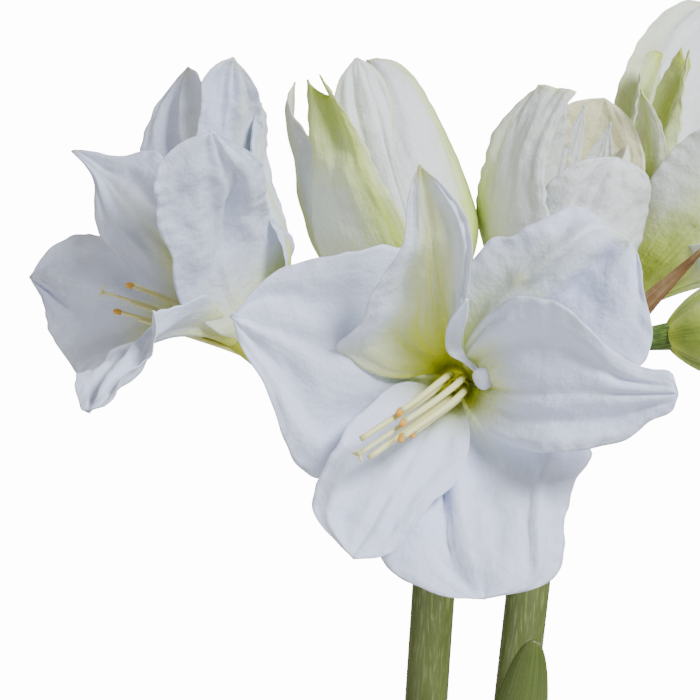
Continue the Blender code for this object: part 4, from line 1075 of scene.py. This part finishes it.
# %% Build the stems
SOCKET_FLOOR = 0.163
STEM_FOOT = SOCKET_FLOOR + 0.0008
UMBEL_TOP = 0.506
SCAPE_RADIUS = 0.0086
SCAPE_SWELL = (1.02, 1.0, 1.0, 1.0, 1.02, 1.05)
SCAPE_DOME = 0.004
PEDICEL_RADIUS = 0.0036
PEDICEL_DEPTH = 0.006       # how deep a pedicel starts in the scape's top
PEDICEL_RISE = 0.010
OVARY_RADIUS = 0.0052
OVARY_LENGTH = 0.015
OVARY_SPOTS = (-0.15, 0.1, 0.35, 0.7, 0.92, 1.0)
OVARY_BULGE = (0.6, 0.82, 0.98, 1.0, 0.93, 0.88)
CLEAR = 0.0003
LEFT_SCAPE = ((-0.0112, 0.000, STEM_FOOT), (-0.0080, 0.002, 0.260), (0.0000, 0.005, 0.390),
              (0.0046, 0.008, 0.460), (0.0066, 0.012, UMBEL_TOP))
RIGHT_SCAPE = ((0.0120, 0.000, STEM_FOOT), (0.0205, 0.001, 0.260), (0.0352, 0.003, 0.390),
               (0.0433, 0.007, 0.460), (0.0484, 0.012, UMBEL_TOP))
STEMS = {
    "scape_left": (LEFT_SCAPE, (FRONT, LEFT, HALF_OPEN_LEFT)),
    "scape_right": (RIGHT_SCAPE, (HALF_OPEN_MIDDLE, UPPER_RIGHT, CLOSED_RIGHT)),
}


def make_stem(name, path, blooms):
    sheets = Sheets()
    rows = np.linspace(0, 1, 90)
    widths = smooth(SCAPE_SWELL, rows) * SCAPE_RADIUS
    top = np.array(path[-1])
    lie = unit(top - np.array(path[-2]))
    dome = np.linspace(0.15, 1, 7)
    course = np.vstack([smooth(path, rows), top + np.outer(dome, lie) * SCAPE_DOME])
    rounding = np.sqrt(np.maximum(1 - dome**2, 0.02)) * widths[-1]
    sheets.tube(course, np.concatenate([widths, rounding]), 48, lobes=9, depth=0.008)
    for bloom in blooms:
        out = unit(bloom.axis)
        foot = np.array(bloom.base) - out * (TUBE_LENGTH + CLEAR + OVARY_LENGTH)
        lift = top + lie * PEDICEL_RISE + 0.15 * (foot - top)
        stations = (top - lie * PEDICEL_DEPTH, lift, foot - out * PEDICEL_RISE, foot)
        route = smooth(stations, np.linspace(0, 1, 36))
        sheets.tube(route, np.linspace(1.08, 0.98, 36) * PEDICEL_RADIUS, 24, lobes=5, depth=0.02)
        grow = np.linspace(OVARY_SPOTS[0], 1, 24)
        sheets.tube(foot + np.outer(grow, out) * OVARY_LENGTH,
                    np.interp(grow, OVARY_SPOTS, OVARY_BULGE) * OVARY_RADIUS, 36, lobes=3, depth=0.07,
                    row_values={"green": 0.7 * ease(1.2 * grow) * (1 - 0.5 * grow)})
    return sheets.finished(name, scape_green)


for node, (path, blooms) in STEMS.items():
    dressed(make_stem("stem_" + node, path, blooms), "scape_green", node)

# %% [markdown]
# ## Spathes
#
# Before it opened, the umbel was wrapped in two green valves. They have dried to brown paper and
# hang from a collar under the flowers. Each valve is a narrow sheet along a curved course, turned
# over at its tip and crumpled, thin enough for light to come through.

# %% Finish of the spathes
def spathe_finish():
    finish = Finish("spathe brown", 0.25, 0.25, (1.0, 0.6, 0.3))
    across, along = finish.blade()
    lines = finish.cloud(finish.spot(across * 34, along * 2.0, 0.0), 1.0, 3.0)
    blotch = finish.grain(120, 4.0)
    browns = ((0.30, (0.09, 0.045, 0.018)), (0.5, (0.24, 0.13, 0.055)), (0.70, (0.50, 0.38, 0.20)))
    body = finish.gradient(lines * 0.6 + blotch * 0.4, browns)
    raised = finish.bump(lines, 0.6, 0.0006)
    return finish.paint(Base_Color=body, Roughness=0.62 + 0.2 * blotch, Normal=raised)


spathe_brown = spathe_finish()

# %% Build the spathes
@dataclass
class Valve:
    turn: float         # degrees round the scape where it leaves the collar
    course: tuple       # places that its middle passes, from near the collar to its tip
    tip_lies: tuple     # the direction of its width at the tip
    width: float = 0.014


COLLAR_SPOT = 0.92          # share of the stem's path where the collar sits
COLLAR_RADIUS = 0.01025
COLLAR_HEIGHT = 0.004
SPATHE_THICKNESS = 0.0005
VALVE_TROUGH = 0.25
VALVE_OUTLINE = (0.45, 0.9, 0.9, 0.55, 0.10)
SPATHES = {
    "spathe_left": (LEFT_SCAPE, (
        Valve(194, ((-0.015, 0.006, 0.503), (-0.030, 0.004, 0.497), (-0.040, 0.003, 0.478)), (0.2, -1, 0)),
        Valve(64, ((0.015, 0.033, 0.503), (0.019, 0.049, 0.496), (0.022, 0.059, 0.477)), (-1, 0.3, 0)))),
    "spathe_right": (RIGHT_SCAPE, (
        Valve(8, ((0.066, 0.019, 0.522), (0.082, 0.017, 0.550), (0.112, 0.002, 0.581)), (-0.7, 0, 0.7),
              0.017),
        Valve(254, ((0.041, -0.011, 0.502), (0.035, -0.023, 0.494), (0.031, -0.030, 0.472)), (1, -0.3, 0)))),
}


def valve_points(valve, middle, lie, across, along, seed):
    leave = math.radians(valve.turn)
    wall = middle + polar(COLLAR_RADIUS, leave, 0)
    course = (wall + lie * 0.25 * COLLAR_HEIGHT, wall + lie * 1.5 * COLLAR_HEIGHT, *valve.course)
    ahead = heading(course, along)
    face = unit(np.cross(smooth(((-math.sin(leave), math.cos(leave), 0), valve.tip_lies), along), ahead))
    width_way = unit(np.cross(ahead, face))
    half = valve.width / 2 * smooth(VALVE_OUTLINE, along)
    half = half * (1 + 0.12 * wander(along * 9, np.sign(across), seed))
    bow = VALVE_TROUGH * half * across**2 + 0.0011 * ease(3 * along) * wander(across * 1.4, along * 6, seed)
    return spread(smooth(course, along), across * half, width_way, bow, face)


def collar_side(across, along):
    turn = math.pi * across
    return COLLAR_RADIUS + 0.0002 * np.sin(7 * turn), COLLAR_HEIGHT * (along * (1 + 0.15 * np.sin(5 * turn)))


def make_spathe(name, path, valves):
    sheets = Sheets()
    middle = smooth(path, COLLAR_SPOT)
    lie = unit(heading(path, COLLAR_SPOT, 2 * STEP))
    for number, valve in enumerate(valves):
        verts, across, along = sheets.grid(18, 60)
        sheets.move(verts, valve_points(valve, middle, lie, across, along, number + 4.5),
                    np.where(np.abs(across) > 0.9, 0.6, 1.0))
    first = unit(np.cross(lie, (0, 1, 0)))
    axes = np.stack([first, np.cross(lie, first), lie])
    sheets.ring(56, 5, collar_side, 1.0, lambda ring: middle + ring @ axes)
    return sheets.finished(name, spathe_brown, SPATHE_THICKNESS)


for node, (path, valves) in SPATHES.items():
    dressed(make_spathe("dry_" + node, path, valves), "spathe_brown", node)

# %% [markdown]
# ## Leaves
#
# The strap leaves are thick and glossy, with a shallow channel and parallel veins. Each is one sheet
# along a bowed spine, thick in the middle and thin at the margins, with a rounded tip that has dried
# to yellow brown. The front right one stands before its stem, and only its tip shows in the picture.

# %% Finish of the leaves
def leaf_finish():
    finish = Finish("leaf green", 0.5, 0.08, (0.5, 1.0, 0.2), Coat_Roughness=0.22)
    across, along = finish.blade()
    veins = finish.cloud(finish.spot(across * 40, along * 1.2, finish.attribute("seed")), 1.0, 2.0)
    patches = finish.grain(30, 4.0)
    specks = finish.grain(700)
    body = finish.mix(veins.ramp(0.35, 0.7), (0.055, 0.085, 0.010), (0.095, 0.130, 0.018))
    body = finish.mix(patches.ramp(0.45, 0.8) * 0.5, body, (0.15, 0.18, 0.035))
    body = finish.mix(finish.attribute("green"), body, (0.22, 0.30, 0.08))
    body = finish.mix(finish.attribute("cream") * (0.6 + 0.6 * patches), body, (0.30, 0.20, 0.06))
    raised = finish.bump(veins + specks * 0.12, 0.4, 0.0006)
    return finish.paint(Base_Color=body, Roughness=0.28 + 0.16 * patches, Normal=raised,
                        Coat_Weight=0.12 + 0.1 * patches)


leaf_green = leaf_finish()

# %% Build the leaves
@dataclass
class Leaf:
    root: tuple         # x and y where it stands in the bulb's neck
    tip: tuple
    width: float
    facing: tuple       # degrees round Z of the blade's width direction, root to tip
    arch: float         # height of the bow above a straight line from root to tip
    spread: float = 1.6
    dry: float = 0.8    # how brown its tip has dried


LEAF_THICKNESS = 0.0024
LEAF_TROUGH = 0.22
LEAF_OUTLINE = (0.50, 0.72, 0.94, 1.0, 0.98, 0.88, 0.66)
DRY_FROM = 0.965            # share of the length from which a tip is dry
LEAVES = {
    "leaf_front_right": Leaf((0.0085, -0.0125), (0.0415, -0.036, 0.427), 0.029, (0, -18), 0.010, 1.4, 0.1),
    "leaf_front_left": Leaf((-0.0085, -0.0125), (-0.085, -0.050, 0.335), 0.030, (0, -40), 0.060),
    "leaf_left": Leaf((-0.0060, -0.0160), (-0.135, -0.100, 0.235), 0.029, (0, -45), 0.110),
    "leaf_back_right": Leaf((0.0060, 0.0162), (0.045, 0.088, 0.375), 0.030, (180, 148), 0.030),
    "leaf_back_left": Leaf((-0.0085, 0.0128), (-0.070, 0.070, 0.365), 0.030, (180, 218), 0.035),
    "leaf_right": Leaf((0.0085, 0.0128), (0.145, 0.055, 0.260), 0.028, (180, 120), 0.110),
}


def make_leaf(name, leaf, seed):
    root = np.array([*leaf.root, SOCKET_FLOOR + CLEAR])
    tip = np.array(leaf.tip)

    def spine(along):
        along = np.clip(along, 0, 1)
        level = root[:2] + np.outer(along**leaf.spread, tip[:2] - root[:2])
        height = root[2] + (tip[2] - root[2]) * along + leaf.arch * np.sin(math.pi * along)
        return np.column_stack([level, height])

    sheets = Sheets()
    verts, across, along = sheets.grid(30, 150)
    facing = np.radians(smooth(leaf.facing, ease(along * 1.6)))
    width_way = np.column_stack([np.cos(facing), np.sin(facing), 0 * facing])
    inward = unit(np.cross(spine(along + STEP) - spine(along - STEP), width_way))
    half = leaf.width / 2 * smooth(LEAF_OUTLINE, along) * np.maximum(1 - along**14, 0.004)**0.5
    half = half * (1 + 0.015 * wander(along * 5, np.sign(across), seed))
    trough = LEAF_TROUGH * half * across**2 + 0.0008 * wander(across * 0.8, along * 5, seed) * ease(4 * along)
    points = spread(spine(along), across * half, width_way, trough, inward)
    dry = leaf.dry * ease((along - DRY_FROM) / (1 - DRY_FROM)) * (0.75 + 0.25 * np.abs(across))
    sheets.move(verts, points, 0.35 + 0.65 * (1 - across**2), green=0.6 * ease(1 - along / 0.14),
                cream=dry, seed=seed)
    return sheets.finished(name, leaf_green, LEAF_THICKNESS)


for number, (node, leaf) in enumerate(LEAVES.items()):
    dressed(make_leaf("strap_" + node, leaf, 1.7 * number), "leaf_green", node)

# %% [markdown]
# ## The bulb
#
# The bulb sits with its shoulders and neck above the soil, wrapped in papery brown tunics. The body
# is a smooth curve turned about Z with the spin operator. Four torn tunics lie over it as thin
# sheets with ragged upper edges, and fine fibres run from base to neck.

# %% Finish of the bulb
def bulb_finish():
    finish = Finish("bulb skin", 0.3, 0.08, (1.0, 0.5, 0.3))
    x, y, height = finish.parts(finish.places())
    turn = y.maths("ARCTAN2", y, x)
    fibres = finish.cloud(finish.spot(turn * 9, height * 22, height * 3), 1.0, 4.0, 0.65)
    patches = finish.grain(42, 4.0)
    body = finish.gradient(fibres * 0.62 + patches * 0.38,
                           ((0.30, (0.085, 0.036, 0.016)), (0.48, (0.22, 0.105, 0.045)),
                            (0.62, (0.38, 0.22, 0.10)), (0.78, (0.56, 0.40, 0.22))))
    raised = finish.bump(fibres, 0.7, 0.0008)
    return finish.paint(Base_Color=body, Roughness=0.52 + 0.25 * patches, Normal=raised)


bulb_skin = bulb_finish()

# %% Turn the bulb's body
BULB_BOTTOM = 0.066
BULB_RADIUS = 0.045
NECK_RADIUS = 0.026
NECK_TOP = 0.178
NECK_ROUND = 0.0006
SOCKET_RADIUS = 0.0225
BULB_SIDE = ((0.020, BULB_BOTTOM), (0.037, 0.081), (BULB_RADIUS, 0.108), (0.0425, 0.130),
             (0.0335, 0.149), (NECK_RADIUS + 0.0012, 0.164), (NECK_RADIUS, NECK_TOP))
SPIN_STEPS = 96


def spun(name, profile, finish):
    """A solid turned about Z from (radius, height) points that start and end on the axis."""
    builder = bmesh.new()
    verts = [builder.verts.new((radius, 0.0, height)) for radius, height in profile]
    edges = [builder.edges.new(pair) for pair in zip(verts, verts[1:])]
    bmesh.ops.spin(builder, geom=verts + edges, cent=(0, 0, 0), axis=(0, 0, 1),
                   angle=math.tau, steps=SPIN_STEPS, use_merge=True)
    bmesh.ops.remove_doubles(builder, verts=builder.verts, dist=0.00001)
    bmesh.ops.recalc_face_normals(builder, faces=builder.faces)
    return piece_of(builder, name, finish)


def swell(turn, height):
    """Slow bulges of the bulb, as a factor on its radius."""
    return 1 + 0.010 * np.sin(5 * turn + 30 * height)


def make_bulb():
    outline = smooth(BULB_SIDE, np.linspace(0, 1, 48))
    profile = [(0, BULB_BOTTOM), *outline, (NECK_RADIUS - 2 * NECK_ROUND, NECK_TOP + NECK_ROUND),
               (SOCKET_RADIUS, NECK_TOP - NECK_ROUND), (SOCKET_RADIUS, SOCKET_FLOOR), (0, SOCKET_FLOOR)]
    piece = spun("bulb_body", profile, bulb_skin)
    for vert in piece.data.vertices:
        turn = math.atan2(vert.co.y, vert.co.x)
        bulge = swell(turn, vert.co.z) + 0.006 * math.sin(11 * turn)
        vert.co.x *= bulge
        vert.co.y *= bulge
    return piece


# %% Wrap the bulb in tunics
@dataclass
class Tunic:
    """A papery skin over part of the bulb's side."""
    turns: tuple        # degrees from its one margin to the other
    top: float          # share of the bulb's side that its ragged top reaches
    lift: float         # how far it stands off


TUNIC_FOOT = 0.30           # share of the bulb's side where the tunics start, down in the soil
TUNIC_THICKNESS = 0.0004
TUNICS = (Tunic((-170, -20), 0.86, 0.0008), Tunic((10, 130), 0.78, 0.0010),
          Tunic((-60, 40), 0.70, 0.0015), Tunic((120, 205), 0.94, 0.0012))


def make_tunics():
    sheets = Sheets()
    for number, tunic in enumerate(TUNICS):
        verts, across, along = sheets.grid(70, 40)
        turn = np.radians(tunic.turns[0] + (tunic.turns[1] - tunic.turns[0]) * (across + 1) / 2)
        ragged = 0.10 * wander(turn * 4, number, 1.0) + 0.04 * wander(turn * 17, number, 2.0)
        ragged = ragged - 0.25 * np.abs(across)**5
        side = smooth(BULB_SIDE, TUNIC_FOOT + (tunic.top + ragged - TUNIC_FOOT) * along)
        lift = tunic.lift * (1 + 1.6 * along**6) + 0.0004 * wander(turn * 6, along * 4, number)
        radius = side[:, 0] * swell(turn, side[:, 1]) + lift
        sheets.move(verts, polar(radius, turn, side[:, 1]), 1.0, seed=number)
    return sheets.finished("bulb_tunics", bulb_skin, TUNIC_THICKNESS)


dressed(make_bulb(), "bulb_skin", "bulb")
dressed(make_tunics(), "bulb_skin")

# %% [markdown]
# ## Soil
#
# Peat fills the pot round the bulb. Its body is turned like the bulb, with a fine surface that noise
# raises into lumps. Loose crumbs and a few chips of bark are small solids, each with only a few
# dozen faces, spread by a seeded random generator so that the script makes the same soil each time.

# %% Finish and fill the soil
POT_HEIGHT = 0.130
POT_FOOT_RADIUS = 0.060
POT_MOUTH_RADIUS = 0.075
POT_WALL = 0.006
POT_LIP = 0.003
SOIL_FLOOR = POT_WALL + CLEAR
SOIL_TOP = 0.112
SOIL_DIP = 0.004            # how much lower the soil lies at the bulb
SOIL_SINK = 0.0006
SOIL_HIDDEN = 0.020         # depth at which the soil closes under the bulb
SOIL_RINGS = 34
SOIL_LUMPS = ((0.0011, 160, 0.5), (0.0006, 520, 1.5))      # height, how many a metre, place in the noise


def pot_inside(height):
    """Inner radius of the pot at a height."""
    lean = (POT_MOUTH_RADIUS - POT_FOOT_RADIUS) / POT_HEIGHT
    return POT_FOOT_RADIUS + lean * height - POT_WALL


def soil_finish():
    finish = Finish("peat soil", 0.25)
    lumps = finish.grain(260, 4.0, 0.65)
    grains = finish.grain(1500, 3.0)
    body = finish.gradient(lumps * 0.6 + grains * 0.4,
                           ((0.32, (0.010, 0.006, 0.004)), (0.52, (0.040, 0.024, 0.014)),
                            (0.70, (0.12, 0.075, 0.042))))
    raised = finish.bump(lumps + grains, 0.9, 0.0012)
    return finish.paint(Base_Color=body, Roughness=0.86 + 0.12 * lumps, Normal=raised)


soil = soil_finish()


def soil_height(radius, turn):
    """The soil's surface: higher at the pot, with lumps."""
    outside = np.clip((radius - BULB_RADIUS) / (pot_inside(SOIL_TOP) - BULB_RADIUS), 0, 1)
    level = SOIL_TOP - SOIL_DIP * (1 - outside) - SOIL_SINK
    for height, scale, layer in SOIL_LUMPS:
        level = level + height * wander(radius * scale * np.cos(turn), radius * scale * np.sin(turn), layer)
    return level


def make_soil():
    inner = BULB_RADIUS * 0.985
    outer_edge = pot_inside(SOIL_TOP) - CLEAR
    surface = [(radius, SOIL_TOP) for radius in np.linspace(outer_edge, inner, SOIL_RINGS)]
    profile = [(0, SOIL_FLOOR), (pot_inside(SOIL_FLOOR) - CLEAR, SOIL_FLOOR), *surface,
               (inner, SOIL_TOP - SOIL_HIDDEN), (0, SOIL_TOP - SOIL_HIDDEN)]
    piece = spun("potting_soil", profile, soil)
    top = [vert for vert in piece.data.vertices if vert.co.z > SOIL_TOP - 0.001]
    flat = np.array([vert.co[:2] for vert in top])
    radius, turn = np.hypot(flat[:, 0], flat[:, 1]), np.arctan2(flat[:, 1], flat[:, 0])
    for vert, height in zip(top, soil_height(radius, turn)):
        vert.co.z = height
    return piece


# %% Scatter the crumbs
CRUMB_COUNT = 420
BARK_EVERY = 9
CRUMB_SIZES = (0.0005, 0.0015)
BARK_SIZES = (0.0016, 0.0030)


def make_crumbs(generator):
    """Lumps of peat and chips of bark that lie on the soil."""
    sheets = Sheets()
    for number in range(CRUMB_COUNT):
        turn = generator.uniform(0, math.tau)
        radius = math.sqrt(generator.uniform((BULB_RADIUS + 0.002)**2, (pot_inside(SOIL_TOP) - 0.003)**2))
        is_bark = number % BARK_EVERY == 0
        size = generator.uniform(*(BARK_SIZES if is_bark else CRUMB_SIZES))
        verts = bmesh.ops.create_icosphere(sheets.builder, subdivisions=2 if is_bark else 1,
                                           radius=size)["verts"]
        shape = Matrix.Diagonal((1.0, generator.uniform(0.5, 0.9), 0.35 if is_bark else 0.7))
        shape = Matrix.Rotation(generator.uniform(0, math.tau), 3, "Z") @ shape
        height = float(soil_height(np.array([radius]), np.array([turn]))[0]) + 0.25 * size
        spot = Vector((radius * math.cos(turn), radius * math.sin(turn), height))
        for vert in verts:
            rough = 1 + 0.35 * noise.noise(vert.co * 900 + Vector((number, 0, 0)))
            vert.co = shape @ (vert.co * rough) + spot
    return sheets.finished("soil_crumbs", soil)


dressed(make_soil(), "soil", "soil")
dressed(make_crumbs(random.Random(7)), "soil")

# %% [markdown]
# ## The pot
#
# The picture ends above the pot, so it is kept plain: a tapered pot of glazed stoneware with a flat
# foot and a rounded lip. It is turned in one go. The off-white glaze is satin, slightly uneven as
# glaze is, and thinner at the lip, where the warm clay shows through.

# %% Finish and build the pot
FOOT_ROUND = 0.002


def glaze_finish():
    finish = Finish("pot glaze", 0.5, Coat_Roughness=0.12)
    clouds = finish.grain(16, 4.0)
    specks = finish.grain(420)
    height = finish.parts(finish.places())[2]
    lip = (height + 0.0012 * clouds).ramp(POT_HEIGHT - 0.0022, POT_HEIGHT - 0.0002)
    foot = (height + 0.002 * clouds).ramp(0.0035, 0.0015)
    body = finish.mix(clouds.ramp(0.35, 0.7), (0.74, 0.72, 0.67), (0.80, 0.79, 0.75))
    body = finish.mix(specks.ramp(0.70, 0.78) * 0.5, body, (0.34, 0.26, 0.18))
    body = finish.mix(lip * 0.6, body, (0.52, 0.40, 0.28))
    body = finish.mix(foot, body, (0.50, 0.36, 0.26))
    raised = finish.bump(clouds, 0.25, 0.0012)
    return finish.paint(Base_Color=body, Roughness=0.26 + 0.14 * clouds + 0.3 * foot,
                        Coat_Weight=0.5 - 0.5 * foot, Normal=raised)


def make_pot():
    lip = POT_MOUTH_RADIUS - POT_WALL / 2
    arc = [(lip + POT_LIP * math.cos(turn), POT_HEIGHT - POT_LIP + POT_LIP * math.sin(turn))
           for turn in np.linspace(0, math.pi, 13)]
    foot = [(POT_FOOT_RADIUS - FOOT_ROUND * (1 - math.sin(turn)), FOOT_ROUND * (1 - math.cos(turn)))
            for turn in np.linspace(0, math.pi / 2, 6)]
    side = [(POT_FOOT_RADIUS + (arc[0][0] - POT_FOOT_RADIUS) * share,
             FOOT_ROUND + (arc[0][1] - FOOT_ROUND) * share) for share in np.linspace(0.05, 0.95, 19)]
    profile = [(0, 0), *foot, *side, *arc, (pot_inside(POT_WALL), POT_WALL), (0, POT_WALL)]
    return spun("glazed_pot", profile, glaze_finish())


dressed(make_pot(), "pot_glaze", "pot")

# %% [markdown]
# ## The floor
#
# The pot stands on a plain pale floor. It is a part of the studio, not of the plant.

# %% Build the floor and finish the scene
FLOOR_HALF = 3.0
floor_builder = bmesh.new()
bmesh.ops.create_grid(floor_builder, x_segments=1, y_segments=1, size=FLOOR_HALF)
floor_finish = Finish("floor white", 0.5, Base_Color=(0.82, 0.82, 0.82, 1), Roughness=0.7)
floor = piece_of(floor_builder, "studio_floor", floor_finish.material)
